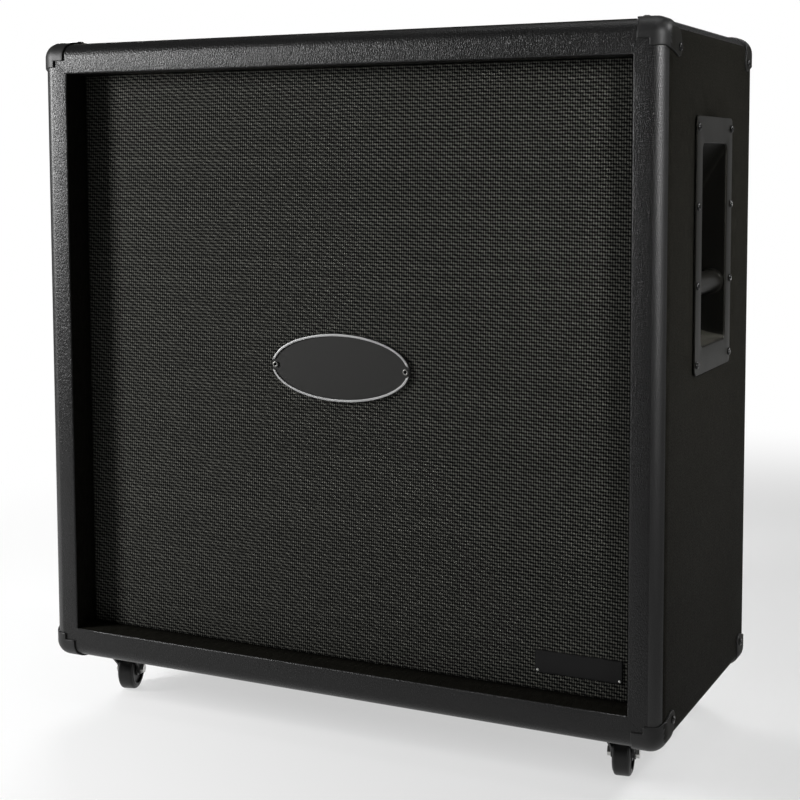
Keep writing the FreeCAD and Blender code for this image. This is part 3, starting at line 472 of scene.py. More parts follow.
# a shinier copy of the vinyl, its grain eased, on the upright edges: a painted highlight that brightens the
# lamp's gleam along them
edgeVinylPaintedHighlight = vinylFinish("black_grained_vinyl_edge_painted_highlight", 0.46, matt=0.06, grain=0.35)
backVinyl = vinylFinish("black_grained_vinyl_back", 0.25, flat=True)
grilleWeave = weaveFinish()
# plastics and paints: darkest and lightest grey, roughness, grain size and depth in mm, specular, warmth
capPlastic = mouldedFinish("corner_cap_plastic", 0.006, 0.011, 0.46, 0.7, 0.05, 0.30)
# a duller, warmer copy of the cap plastic for the side-facing faces: painted shade and a painted warm cast,
# as on the covering's sides
capSidePaintedShade = mouldedFinish("corner_cap_plastic_side_painted_shade", 0.006, 0.011, 0.6, 0.7, 0.05, 0.06, 0.06)
# a darker, duller copy of the handle plastic inside the scoop: painted shade for the recess
scoopPaintedShade = mouldedFinish("handle_scoop_painted_shade", 0.0015, 0.0035, 0.5, 0.8, 0.04, 0.03, 0.08)
handlePlastic = mouldedFinish("handle_plastic", 0.0035, 0.006, 0.34, 0.8, 0.04, 0.08, 0.08)
# a lighter copy on the scoop floor's upward faces: painted light where light from above falls
scoopFloorPaintedLight = mouldedFinish("handle_floor_painted_light", 0.010, 0.030, 0.7, 1.6, 0.08, 0.2, 0.1)
wheelPlastic = mouldedFinish("wheel_rubber", 0.004, 0.008, 0.42, 0.9, 0.05, 0.28)
jackPlastic = mouldedFinish("jack_plastic", 0.008, 0.014, 0.5, 0.6, 0.04)
wireCover = mouldedFinish("wire_cover", 0.016, 0.03, 0.45, 1.2, 0.04)
platePaint = mouldedFinish("jack_plate_paint", 0.009, 0.018, 0.5, 0.45, 0.08, 0.35)
namePlateMetal = mouldedFinish("name_plate_paint", 0.0050, 0.0090, 0.45, 0.5, 0.03, 0.12)
# metals: colour, roughness, scratch size and depth in mm
blackScrew = metalFinish("black_screws", (0.018, 0.018, 0.018), 0.24, 0.5, 0.015, metal=0.6)
socketShade = mouldedFinish("screw_socket_shade", 0.0010, 0.0020, 0.8, 0.5, 0.02, 0.05)
badgeScrew = metalFinish("badge_screws", (0.20, 0.20, 0.19), 0.34, 0.5, 0.015, metal=0.85)
brightScrew = metalFinish("bright_screws", (0.62, 0.62, 0.60), 0.3, 0.5, 0.02)
zincSteel = metalFinish("zinc_steel", (0.60, 0.60, 0.58), 0.33, 0.7, 0.02)
forkSteel = metalFinish("fork_steel", (0.05, 0.05, 0.05), 0.42, 0.8, 0.03, metal=0.7)
basketSteel = metalFinish("basket_steel", (0.11, 0.11, 0.11), 0.5, 0.8, 0.05, metal=0.6)
motorSteel = metalFinish("motor_steel", (0.42, 0.42, 0.41), 0.45, 0.8, 0.05)
# woods: early and late colour, ring width in mm, stretch along the grain
plywood = woodFinish("plywood", (0.52, 0.38, 0.23), (0.34, 0.21, 0.11), 24.0, (1, 0.2, 1))
softwood = woodFinish("softwood", (0.62, 0.46, 0.27), (0.43, 0.27, 0.13), 18.0, (0.15, 1, 1))
# felts: darkest and lightest colour, fibre size in mm
conePaper = paperFinish("cone_paper", grey(0.018, 0.1), grey(0.045, 0.1), 1.4)
suspensionCloth = paperFinish("suspension_cloth", grey(0.02), grey(0.05), 0.9)
corkRing = paperFinish("gasket_cork", (0.20, 0.11, 0.05), (0.42, 0.26, 0.13), 2.5)
print("finishes made:", len(bpy.data.materials))


# Covered box: one skin that turns in round the front opening and the back opening

handleLo, handleHi = nodeBox("right_handle_dish")
handleMiddle = (handleLo + handleHi) / 2
backHi = nodeBox("back_covering")[1]
covering = {"edgeRadius": 17.0, "thickness": 1.0, "roll": 2.0, "rollSteps": 4, "openingGap": 0.5,
            "backGap": 1.5, "handleCut": (53.5, 110.75), "turnSteps": 10, "pitch": 60.0, "reach": 300,
            "topRow": 310.0, "sideRow": 110.0, "wallRow": -150.0, "levelRuns": (2, 6), "slack": 0.5,
            "sideFacing": 0.9, "edgeFacing": 0.10, "crease": 50}


def coverBox():
    # rows follow the section of the edge (inset from the outside, place in depth), columns go round the box
    r, roll = covering["edgeRadius"], covering["roll"]
    steps, rollSteps = covering["turnSteps"], covering["rollSteps"]
    front, rear = skinLo[1], skinHi[1]
    inFront = boxHalf[0] - clothHalf[0] - covering["openingGap"]
    inRear = boxHalf[0] - backHi[0] - covering["backGap"]
    cutY, cutZ = covering["handleCut"]
    _, handleY, handleZ = handleMiddle
    sideY = np.array([covering["sideRow"], handleY + cutY, 0.0, handleY - cutY, -covering["sideRow"]])
    section = np.concatenate([
        [(inRear, nodeBox("back_panel")[0][1]), (inRear, rear - roll)],
        arc((inRear - roll, rear - roll), roll, 0, 90, rollSteps)[1:],
        arc((r, rear - r), r, 90, 180, steps),
        np.stack([0 * sideY, sideY], -1),
        arc((r, front + r), r, 180, 270, steps),
        arc((inFront - roll, front + roll), roll, 270, 360, rollSteps),
        [(inFront, covering["wallRow"]), (inFront, clothHi[1])]])
    inset, y = section.T
    cutV = handleZ - boxMiddle[2] + np.array([-cutZ, 0, cutZ])
    reach, pitch = covering["reach"], covering["pitch"]
    alongU = stations(np.arange(-reach, reach + 1, pitch))
    alongV = stations(np.concatenate([np.arange(-reach, 1, pitch), cutV, [covering["topRow"]]]))
    corner = np.maximum(r - inset, 0)
    u, v, run = roundedLoops(boxHalf[0] - inset, boxHalf[2] - inset, corner, alongU, alongV, steps)
    points = np.stack([u, np.broadcast_to(y[:, None], u.shape), boxMiddle[2] + v], -1)
    pairs = points + np.roll(points, -1, 1)
    middle = (pairs[:-1] + pairs[1:]) / 4
    inCut = ((np.abs(middle[..., 0]) > boxHalf[0] - covering["slack"])
             & (np.abs(middle[..., 1] - handleY) < cutY) & (np.abs(middle[..., 2] - handleZ) < cutZ))
    shape = gridShape(points, wrapColumns=True, keep=~inCut)
    # grain: millimetres across and along it; it runs up the sides, and over the top from front to back
    length = np.concatenate([[0], np.cumsum(np.hypot(*np.diff(section, axis=0).T))])
    outer = points[np.argmin(inset)]
    stride = np.linalg.norm(np.diff(outer, axis=0, append=outer[:1]), axis=1)
    perimeter = np.cumsum(np.concatenate([[0], stride]))
    row = np.arange(len(length) - 1)[:, None] + np.array([0, 0, 1, 1])
    column = np.arange(len(run))[:, None] + np.array([0, 1, 1, 0])
    side = np.stack(np.broadcast_arrays(length[row][:, None], perimeter[column][None]), -1)
    x = points[..., 0][row[:, None], column[None] % len(run)]
    over = np.stack([x, np.broadcast_to(length[row][:, None], x.shape)], -1)
    isOver = np.isin(run, covering["levelRuns"])[None, :, None, None]  # along the top and the bottom
    grain = np.where(isOver, over, side)[~inCut]
    piece = addPiece("covered_box", shape, blackVinyl, ["vinyl_covering"], uv=grain,
                     crease=covering["crease"], closed=False)
    facing = faceData(piece, "normal")
    sideways, upward = np.abs(facing[:, 0]), facing[:, 2]
    # side and top faces: the painted-shade copy of the vinyl
    matt = np.maximum(sideways, upward) > covering["sideFacing"]
    outside = np.abs(faceData(piece, "center")[:, 0]) * metre > boxHalf[0] - r
    level = covering["edgeFacing"]
    # upright rounded edges: the painted-highlight copy of the vinyl
    bent = outside & (sideways > level) & (np.abs(upward) < level) & ~matt
    useAlso(piece, (sideVinylPaintedShade, matt), (edgeVinylPaintedHighlight, bent))
    thicken(piece, covering["thickness"])


coverBox()
print("box covered")


# Grille cloth, stretched over its frame and wrapped round the edges

grille = {"roll": 2.0, "rollSteps": 5, "thickness": 0.8, "cells": (40, 38)}


def stretchCloth():
    # a flat grid in the middle, joined to loops that roll over the frame's edge and run back along it
    roll = grille["roll"]
    wide, tall = clothHalf[0] - roll, clothHalf[2] - roll
    front, back = clothLo[1], clothHi[1]
    x = np.linspace(-wide, wide, grille["cells"][0] + 1)
    z = np.linspace(-tall, tall, grille["cells"][1] + 1)
    gridX, gridZ = np.meshgrid(x, z)
    middle = np.stack([gridX, np.full_like(gridX, front), boxMiddle[2] + gridZ], -1)
    section = np.concatenate([[(0.0, back), (0.0, (front + back) / 2)],
                              arc((roll, front + roll), roll, 180, 270, grille["rollSteps"])])
    inset, y = section.T
    u, v, _ = roundedLoops(clothHalf[0] - inset, clothHalf[2] - inset, 0 * inset, x, z)
    edge = np.stack([u, np.broadcast_to(y[:, None], u.shape), boxMiddle[2] + v], -1)
    shape = joined([gridShape(middle), gridShape(edge, wrapColumns=True)])
    piece = addPiece("grille_cloth_sheet", shape, grilleWeave, ["grille_cloth"],
                     closed=False)
    thicken(piece, grille["thickness"])
    # lying flat: the face, and at each edge the quarter circle and the run back, less the face's own roll
    wrap = 2 * (back - front - roll + roll * math.pi / 2 - roll)
    flat = ((2 * clothHalf[0] + wrap) / metre, (2 * clothHalf[2] + wrap) / metre)


stretchCloth()
print("cloth stretched")


# Screws: pan heads with a cross pressed in, on pointed shanks

crossHead = {"shares": (1.0, 0.985, 0.94, 0.86, 0.75, 0.66, 0.56, 0.46, 0.36, 0.26, 0.16, 0.08, 0.0),
             "steps": 32, "point": 3, "rim": 0.12, "shoulder": 0.3, "power": 2.4, "bar": 0.15, "half": 1.5,
             "reach": 0.56, "ease": 0.8, "sink": 0.55, "crossFrom": 0.2}


def crossScrew(place, outward, head, height, shank, length, turn):
    # rows run from the point up the shank, under the head, over the dome to its middle;
    # the dome is a quarter of a rounded oval, less a cross of two short bars
    outward = np.asarray(outward, float)
    share, shoulder = np.array(crossHead["shares"]), crossHead["shoulder"]
    radius = np.concatenate([[0.0, shank, shank, head, head], head * share])
    dome = height * (shoulder + (1 - shoulder) * np.sqrt(np.maximum(1 - share ** crossHead["power"], 0)))
    tip = crossHead["point"] * shank - length
    rise = np.concatenate([[-length, tip, 0.0, 0.0, height * crossHead["rim"]], dome])[:, None]
    angle = np.arange(crossHead["steps"]) * 2 * math.pi / crossHead["steps"]
    a, b = radius[:, None] * np.cos(angle), radius[:, None] * np.sin(angle)
    bar, reach = crossHead["bar"] * head, crossHead["reach"] * head
    ease = crossHead["ease"] * bar
    pressed = np.zeros_like(a)
    for p, q in ((a, b), (b, a)):
        across = np.clip((bar * crossHead["half"] - np.abs(p)) / ease, 0, 1)
        along = np.clip((reach - np.abs(q)) / ease, 0, 1)
        pressed = np.maximum(pressed, across * along)
    level = rise - pressed * height * crossHead["sink"] * (rise > height * crossHead["crossFrom"])
    ring = ringRound(outward, angle + turn)
    points = np.asarray(place, float) + radius[:, None, None] * ring + level[..., None] * outward
    return gridShape(points, wrapColumns=True)


caseScrew = {"head": 4.2, "height": 2.6, "shank": 1.9, "length": 15.0}
handle = {"screwInset": (5.75, 11.7), "screwRows": 4}
cap = {"proud": 2.0, "side": 32.0, "drop": 28.0, "back": 33.0, "topWrap": 20.5, "sideWrap": 19.0,
       "earRadius": 9.5, "lip": 1.1, "lipSteps": 5, "under": 0.05, "softness": 1.2, "rows": 14,
       "earSteps": 14, "edgeSteps": 7, "frontSteps": 4, "crease": 38}
screw = {"crease": 32, "turn": 1.5}


def handleScrewPlaces():
    inY, inZ = handle["screwInset"]
    rows = np.linspace(handleLo[2] + inZ, handleHi[2] - inZ, handle["screwRows"])
    return [(handleHi[0], y, z) for y in (handleLo[1] + inY, handleHi[1] - inY) for z in rows]


def screwSet(name, node, places, size, finish):
    rng = np.random.default_rng(len(name))
    shapes = [crossScrew(place, outward, turn=rng.uniform(0, screw["turn"]), **size)
              for place, outward in places]
    addPiece(name, joined(shapes), finish, [node], crease=screw["crease"])


handlePlaces = [((side * x, y, z), (side, 0, 0)) for side in (-1, 1) for x, y, z in handleScrewPlaces()]
screwSet("handle_screw_heads", "handle_screws", handlePlaces, caseScrew, blackScrew)
capPlaces = []
for sx, sy, sz in corners:
    depth = sy * (boxHalf[1] - cap["back"])
    onX, inX = sx * (boxHalf[0] + cap["proud"]), sx * (boxHalf[0] - cap["side"])
    onZ, inZ = (boxMiddle[2] + sz * (boxHalf[2] + step) for step in (cap["proud"], -cap["drop"]))
    capPlaces += [((inX, depth, onZ), (0, 0, sz)), ((onX, depth, inZ), (sx, 0, 0))]
screwSet("corner_cap_screws", "corner_screws", capPlaces, caseScrew, blackScrew)
print("case screws driven")


# Corner caps: a thin shell over three faces, with an ear for each screw

def softPath(points, radius, steps=4):
    # straight runs with square corners, each corner eased by an arc
    points = np.asarray(points, float)
    path = [points[:1]]
    for before, here, after in zip(points, points[1:], points[2:]):
        come = (here - before) / np.linalg.norm(here - before)
        go = (after - here) / np.linalg.norm(after - here)
        turn = np.linspace(0, math.pi / 2, steps + 1)[:, None]
        path.append(here - radius * come + radius * go + radius * (come * np.sin(turn) - go * np.cos(turn)))
    path.append(points[-1:])
    return np.concatenate(path)


def between(first, last, count):
    return np.linspace(first, last, count + 1)[:-1]


def earPath(leg, back, radius):
    # from the front edge, tangent to the ear's circle, round it and tangent back to the other edge
    toFront = -math.pi / 2 + math.acos(radius / back)
    toEdge = math.pi - math.acos(radius / leg)
    ear = arc((leg, back), radius, math.degrees(toFront), math.degrees(toEdge), cap["earSteps"])
    steps = cap["edgeSteps"]
    return np.concatenate([between((leg, 0), ear[0], steps), ear[:-1], between(ear[-1], (0, back), steps)])


def capOutline():
    # once round the corner over the front, the side and the top, as (from side, from top, from front)
    front = softPath([(cap["side"], 0), (cap["side"], cap["topWrap"]), (cap["sideWrap"], cap["topWrap"]),
                      (cap["sideWrap"], cap["drop"]), (0, cap["drop"])], cap["softness"])
    front = np.concatenate([between(a, b, cap["frontSteps"]) for a, b in zip(front, front[1:])])
    side = earPath(cap["drop"], cap["back"], cap["earRadius"])
    top = earPath(cap["side"], cap["back"], cap["earRadius"])
    top = np.concatenate([[(0, cap["back"])], top[:0:-1]])
    zero = np.zeros
    return np.concatenate([np.stack([front[:, 0], front[:, 1], zero(len(front))], -1),
                           np.stack([zero(len(side)), side[:, 0], side[:, 1]], -1),
                           np.stack([top[:, 0], zero(len(top)), top[:, 1]], -1)])


def mouldCaps():
    # rays from the sharp corner to the outline, pushed out onto the round edge's own circle and ball;
    # the height over the covering falls at the outline in a quarter round, then the shell turns under
    outline = capOutline()
    reach = np.linalg.norm(outline, axis=1)
    r, lip, proud, under = covering["edgeRadius"], cap["lip"], cap["proud"], cap["under"]
    share = np.linspace(0, 1, cap["rows"])[:, None]
    quarter = np.radians(np.linspace(0, 90, cap["lipSteps"] + 1))[1:, None]
    fromEdge = np.concatenate([lip + (reach - lip) * (1 - share), lip * (1 - np.sin(quarter)) + 0 * reach,
                               0 * reach[None], reach * (1 - share[::-1])])
    height = np.concatenate([proud + 0 * share, proud - lip + lip * np.cos(quarter), [[under]],
                             under + 0 * share])
    onBox = (1 - fromEdge / reach)[..., None] * outline
    core = np.maximum(onBox, r)
    away = onBox - core
    away = away / np.linalg.norm(away, axis=-1, keepdims=True)
    shell = core + (r + height[..., None]) * away
    caps = []
    for sx, sy, sz in corners:
        sign = np.array([sx, sy, sz])
        points = boxMiddle + sign * (boxHalf - shell[..., [0, 2, 1]])
        caps.append(gridShape(points, wrapColumns=True))
    piece = addPiece("corner_cap_shells", joined(caps), capPlastic, ["corner_caps"],
                     crease=cap["crease"])
    # side-facing faces of the caps: the painted-shade copy
    useAlso(piece, (capSidePaintedShade, np.abs(faceData(piece, "normal")[:, 0]) > covering["sideFacing"]))


mouldCaps()
print("corner caps moulded")


# Side handles: flange, scoop with a sloping ceiling and a round floor, and a grip bar

scoop = {"grip": (50.0, 107.25), "corner": 8.0, "deepCorner": 17.0, "cornerGrowth": 2.5, "leastCorner": 0.5,
         "flangeCorner": 7.0, "bevel": 0.7, "roll": 2.0, "depth": 62.0, "start": 0.04, "ceilingDrop": 92.0,
         "floorRadius": 50.0, "backRound": 7.0, "backFlat": 1.5, "wall": 2.0, "rows": 18, "easeSteps": 4,
         "turnSteps": 8, "alongY": np.linspace(-40, 40, 5), "alongZ": np.linspace(-90, 90, 7), "slack": 1.0,
         "lit": 0.55, "crease": 30}
bar = {"radius": 12.0, "flare": 2.5, "flareLength": 7.0, "rows": 14, "steps": 40, "stations": 7}


def mouldDish(name, node, side):
    # rings of round-cornered rectangles: round the flange, over its face, then down into the scoop;
    # each is (x, half width, half height, corner radius, lift)
    faceX, wallX = handleHi[0], boxHalf[0]
    _, flangeY, flangeZ = (handleHi - handleLo) / 2
    gripY, gripZ = scoop["grip"]
    bevel, roll, back, floorRadius = (scoop[key] for key in ("bevel", "roll", "backRound", "floorRadius"))
    ease = np.radians(np.linspace(0, 90, scoop["easeSteps"] + 1))
    rim = [(wallX, 0), (faceX - bevel, 0)]
    rim += [(faceX - bevel + bevel * math.sin(a), bevel * (1 - math.cos(a))) for a in ease]
    rings = [(x, flangeY - d, flangeZ - d, scoop["flangeCorner"] - d, 0.0) for x, d in rim]
    mouth = [(faceX - roll + roll * math.cos(a), roll * (1 - math.sin(a))) for a in ease]
    rings += [(x, gripY + d, gripZ + d, scoop["corner"] + d, 0.0) for x, d in mouth]
    # scoop: ceiling drops in a straight slope, floor rises as a quarter circle
    deep = np.linspace(scoop["start"], 1, scoop["rows"])
    down = scoop["depth"] * deep
    ceiling = gripZ - scoop["ceilingDrop"] * deep
    into = np.maximum(down - scoop["depth"] + floorRadius, 0)
    floor = floorRadius - gripZ - np.sqrt(np.maximum(floorRadius ** 2 - into ** 2, 0))
    growth = np.minimum(deep * scoop["cornerGrowth"], 1)
    corner = scoop["corner"] + (scoop["deepCorner"] - scoop["corner"]) * growth
    inner = np.stack([wallX - down, gripY + 0 * down, (ceiling - floor) / 2, corner,
                      (ceiling + floor) / 2], -1)
    x, halfY, halfZ, radius, lift = np.concatenate([rings, inner]).T
    # the last rings turn in to close the back
    closing = [back * scoop["backFlat"], min(halfY[-1], halfZ[-1])]
    turnIn = np.concatenate([back * (1 - np.cos(ease[1:])), closing])
    sink = np.concatenate([back * np.sin(ease[1:]), [back, back]])
    x = np.concatenate([x[:-1], x[-1] + back - sink])
    halfY = np.concatenate([halfY[:-1], halfY[-1] - turnIn])
    halfZ = np.concatenate([halfZ[:-1], halfZ[-1] - turnIn])
    halfZ[-1] = max(halfZ[-1], 0.0)
    radius = np.concatenate([radius[:-1], np.maximum(radius[-1] - turnIn, scoop["leastCorner"])])
    radius = np.minimum(radius, np.minimum(halfY, halfZ))
    lift = np.concatenate([lift[:-1], np.full(len(turnIn), lift[-1])])
    u, v, _ = roundedLoops(halfY, halfZ, radius, stations(scoop["alongY"]), stations(scoop["alongZ"]),
                           scoop["turnSteps"])
    points = np.stack([np.broadcast_to(side * x[:, None], u.shape), handleMiddle[1] + u,
                       handleMiddle[2] + v + lift[:, None]], -1)
    if side < 0:
        points = points[:, ::-1]
    piece = addPiece(name, gridShape(points, wrapColumns=True), handlePlastic, [node],
                     crease=scoop["crease"], closed=False)
    facing, centre = faceData(piece, "normal"), faceData(piece, "center") * metre
    # the faces inside the scoop take the painted shade
    inside = np.abs(centre[:, 0]) < faceX - roll
    inside &= np.abs(centre[:, 1] - handleMiddle[1]) < gripY + scoop["slack"]
    inside &= np.abs(centre[:, 2] - handleMiddle[2]) < gripZ + scoop["slack"]
    # upward faces of the scoop floor take the painted light over the painted shade
    useAlso(piece, (scoopPaintedShade, inside), (scoopFloorPaintedLight, inside & (facing[:, 2] > scoop["lit"])))
    thicken(piece, scoop["wall"])


def turnBars():
    # a round bar whose ends swell where they meet the scoop's walls
    lo, hi = nodeBox("handle_bars")
    length = hi[1] - lo[1]
    out = np.linspace(0, 1, bar["rows"] // 2)
    flare = bar["radius"] + bar["flare"] * (1 - np.sqrt(1 - (1 - out) ** 2))
    start = bar["flareLength"] * out
    middle = np.linspace(bar["flareLength"], length - bar["flareLength"], bar["stations"])[1:-1]
    profile = np.concatenate([[(0, 0)], np.stack([flare, start], -1),
                              np.stack([0 * middle + bar["radius"], middle], -1),
                              np.stack([flare, length - start], -1)[::-1], [(0, length)]])
    x = hi[0] - bar["radius"] - bar["flare"]
    z = (lo[2] + hi[2]) / 2
    shapes = [turned(profile, bar["steps"], (side * x, lo[1], z), (0, 1, 0)) for side in (-1, 1)]
    addPiece("grip_bars", joined(shapes), handlePlastic, ["handle_bars"])


mouldDish("right_handle_scoop", "right_handle_dish", 1)
mouldDish("left_handle_scoop", "left_handle_dish", -1)
turnBars()
print("handles moulded")


# Oval badge, name plate and their fasteners

badgeLo, badgeHi = nodeBox("badge_plate")
badge = {"rimWidth": 2.7, "rimHeight": 1.5, "ease": 0.5, "easeSteps": 3, "foot": -3.0, "step": 0.1,
         "margin": 1.5, "fieldShares": (0.5, 0.85), "screwInset": 4.5, "boss": 6.0, "bossEase": 0.5,
         "columns": 200, "gather": 0.32, "crease": 30}
namePlate = {"ease": 0.4, "cut": 0.12, "margin": 2.0, "corner": 1.2, "turnSteps": 4,
             "alongU": np.linspace(-30, 30, 3), "alongV": np.array([0.0]), "crease": 30}
smallScrew = {"head": 3.4, "height": 2.0, "shank": 1.5, "length": 12.0, "point": 1.0, "ease": 0.5,
              "cut": 0.15, "socket": ((0.62, 0.0), (0.55, 0.1), (0.52, 1.3), (0.0, 1.4)), "shaded": 0.56,
              "steps": 36}
rivet = {"head": 1.6, "rim": 0.25, "dome": 0.75, "domeSteps": 6, "shank": 1.0, "length": 7.0, "point": 0.4,
         "inset": 2.6, "steps": 24}


def castBadge():
    # ellipses from the outside in: side, rounded rim, step down to a flat field;
    # the rim stops at the screws
    half = (badgeHi - badgeLo) / 2
    turn = np.arange(badge["columns"]) * 2 * math.pi / badge["columns"]
    turn = turn - badge["gather"] * np.sin(2 * turn)  # closer columns round the two ends
    rim, high, ease = badge["rimWidth"], badge["rimHeight"], badge["ease"]
    curve = np.radians(np.linspace(0, 90, badge["easeSteps"] + 1))
    rows = [(0.0, badge["foot"]), (0.0, high - ease)]
    rows += [(ease * (1 - math.cos(a)), high - ease + ease * math.sin(a)) for a in curve[1:]]
    rows += [(rim - ease + ease * math.sin(a), high - ease + ease * math.cos(a)) for a in curve]
    rows += [(rim + badge["step"], 0.0), (rim + badge["margin"], 0.0)]
    rows += [(half[2] * share, 0.0) for share in badge["fieldShares"]]
    inset, lift = np.array(rows).T
    fieldY = badgeLo[1] + high
    x = (half[0] - inset)[:, None] * np.cos(turn)
    z = (half[2] - inset)[:, None] * np.sin(turn)
    screwX = half[0] - badge["screwInset"]
    near = np.minimum(np.hypot(x - screwX, z), np.hypot(x + screwX, z))
    present = np.clip((near - badge["boss"]) / badge["bossEase"], 0, 1)
    lift = np.where(lift[:, None] > 0, lift[:, None] * present, lift[:, None])
    points = np.stack([x, fieldY - lift, boxMiddle[2] + z], -1)
    middle = np.broadcast_to(np.array([0, fieldY, boxMiddle[2]]), points[:1].shape)
    under = np.broadcast_to(np.array([0, badgeHi[1], boxMiddle[2]]), points[:1].shape)
    shape = gridShape(np.concatenate([under, points, middle]), wrapColumns=True)
    addPiece("oval_badge", shape, badgeFinish(fieldY), ["badge_plate"],
             crease=badge["crease"])


def cutNamePlate():
    # a thin plate with an eased edge and small round corners: rings from the back, over the edge to the face
    lo, hi = nodeBox("name_plate")
    half, middle = (hi - lo) / 2, (hi + lo) / 2
    ease, cut = namePlate["ease"], namePlate["cut"]
    inset = np.array([half[2], 0.0, 0.0, cut, ease, namePlate["margin"], half[2]])
    y = np.array([hi[1], hi[1], lo[1] + ease, lo[1] + cut, lo[1], lo[1], lo[1]])
    u, v, _ = roundedLoops(half[0] - inset, half[2] - inset, np.maximum(namePlate["corner"] - inset, 0),
                           stations(namePlate["alongU"]), stations(namePlate["alongV"]),
                           namePlate["turnSteps"])
    points = np.stack([middle[0] + u, np.broadcast_to(y[:, None], u.shape), middle[2] + v], -1)
    addPiece("name_plate_blank", gridShape(points, wrapColumns=True), namePlateMetal,
             ["name_plate"], crease=namePlate["crease"])


def fastenBadge():
    # two socket head screws at the badge's ends, two rivets in the name plate
    plateLo, plateHi = nodeBox("name_plate")
    screwX = (badgeHi - badgeLo)[0] / 2 - badge["screwInset"]
    seat = badgeLo[1] + badge["rimHeight"]
    head, tall, shank, length = (smallScrew[key] for key in ("head", "height", "shank", "length"))
    ease, cut = smallScrew["ease"], smallScrew["cut"]
    profile = [(0, -length), (shank, smallScrew["point"] - length), (shank, 0), (head, 0),
               (head, tall - ease), (head - cut, tall - cut), (head - ease, tall)]
    profile += [(head * share, tall - deep) for share, deep in smallScrew["socket"]]
    places = [(side * screwX, seat, boxMiddle[2]) for side in (-1, 1)]
    screws = [turned(profile, smallScrew["steps"], place, (0, -1, 0)) for place in places]
    piece = addPiece("badge_screws", joined(screws), badgeScrew, ["badge_fasteners"],
                     crease=screw["crease"])
    centre = faceData(piece, "center") * metre
    fromAxis = np.hypot(np.abs(centre[:, 0]) - screwX, centre[:, 2] - boxMiddle[2])
    useAlso(piece, (socketShade, (fromAxis < head * smallScrew["shaded"]) & (centre[:, 1] < seat)))
    head, shank, length, inset = (rivet[key] for key in ("head", "shank", "length", "inset"))
    curve = np.radians(np.linspace(0, 90, rivet["domeSteps"] + 1))
    profile = [(0, -length), (shank, rivet["point"] - length), (shank, 0), (head, 0)]
    profile += [(head * math.cos(a), rivet["rim"] + rivet["dome"] * math.sin(a)) for a in curve]
    places = [(x, plateLo[1], plateLo[2] + inset) for x in (plateLo[0] + inset, plateHi[0] - inset)]
    rivets = [turned(profile, rivet["steps"], place, (0, -1, 0)) for place in places]
    addPiece("name_plate_rivets", joined(rivets), brightScrew)


castBadge()
cutNamePlate()
fastenBadge()
print("badge and name plate fitted")


# Casters

caster = {"forkEase": 0.5, "axleEase": 0.3, "socketEase": 0.4,
          "restTurn": {"front_left": 16, "front_right": 10, "rear_left": 15, "rear_right": 12}}
wheel = {"radius": 25.0, "half": 10.0, "shoulder": 3.2, "chamfer": 0.8, "rim": 18.0, "hub": 9.0,
         "recess": 3.0, "bore": 3.05, "ease": 0.5, "steps": 72, "treadSteps": 5, "crease": 30}


def turnWheel(place, degrees):
    # bore, hub, sunk web, rim, a small chamfer and a round shoulder up to the tread, then the same mirrored
    node = "caster_" + place + "_wheel"
    lo, hi = nodeBox(node)
    r, half, shoulder, cut, ease = (wheel[key] for key in ("radius", "half", "shoulder", "chamfer", "ease"))
    bore, hub, rim = wheel["bore"], wheel["hub"], wheel["rim"]
    foot = half - wheel["recess"]
    side = [(bore, half - ease), (bore + ease, half), (hub - ease, half), (hub, half - ease),
            (hub, foot + ease), (hub + ease, foot), (rim - ease, foot), (rim, foot + ease),
            (rim, half - ease), (rim + ease, half), (r - shoulder - cut, half), (r - shoulder, half - cut)]
    tread = arc((r - shoulder, half - cut - shoulder), shoulder, 90, 0, wheel["treadSteps"])
    side = np.concatenate([side, tread[1:]])
    profile = np.concatenate([side, (side * (1, -1))[::-1], side[:1]])
    turn = math.radians(degrees)
    shape = turned(profile, wheel["steps"], (lo + hi) / 2, (math.cos(turn), math.sin(turn), 0))
    addPiece(place + "_wheel_tyre", shape, wheelPlastic, [node], place + "_wheel",
             crease=wheel["crease"])


for place, degrees in caster["restTurn"].items():
    turnWheel(place, degrees)
    node, body = "caster_" + place, place + "_caster"
    bevelledCopy(place + "_fork_pressing", node + "_fork", forkSteel, caster["forkEase"], body)
    bevelledCopy(place + "_axle_bolt", node + "_axle", zincSteel, caster["axleEase"], body)
bevelledCopy("caster_socket_cups", "caster_sockets", zincSteel, caster["socketEase"])
bevelledCopy("caster_stem_pins", "caster_stems", zincSteel, caster["socketEase"])
print("casters built")


# Back: covered panel, its screws, the jack plate and the jacks

rear = {"coverEase": 0.4, "plateEase": 0.6, "jackEase": 0.25, "slack": 0.1,
        "panelScrew": {"head": 4.5, "height": 2.6, "shank": 2.0, "length": 26.0},
        "plateScrew": {"head": 3.4, "height": 2.0, "shank": 1.5, "length": 14.0}}


def loosePlaces(node):
    # the middle of each separate solid of a node, in millimetres
    work = mergedWork(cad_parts[node].data)
    waiting, places = set(work.verts), []
    while waiting:
        island, edge = set(), {next(iter(waiting))}
        while edge:
            island |= edge
            edge = {e.other_vert(v) for v in edge for e in v.link_edges} - island
        waiting -= island
        spots = np.array([v.co for v in island]) * metre
        places.append((spots.min(0) + spots.max(0)) / 2)
    work.free()
    return sorted(places, key=tuple)


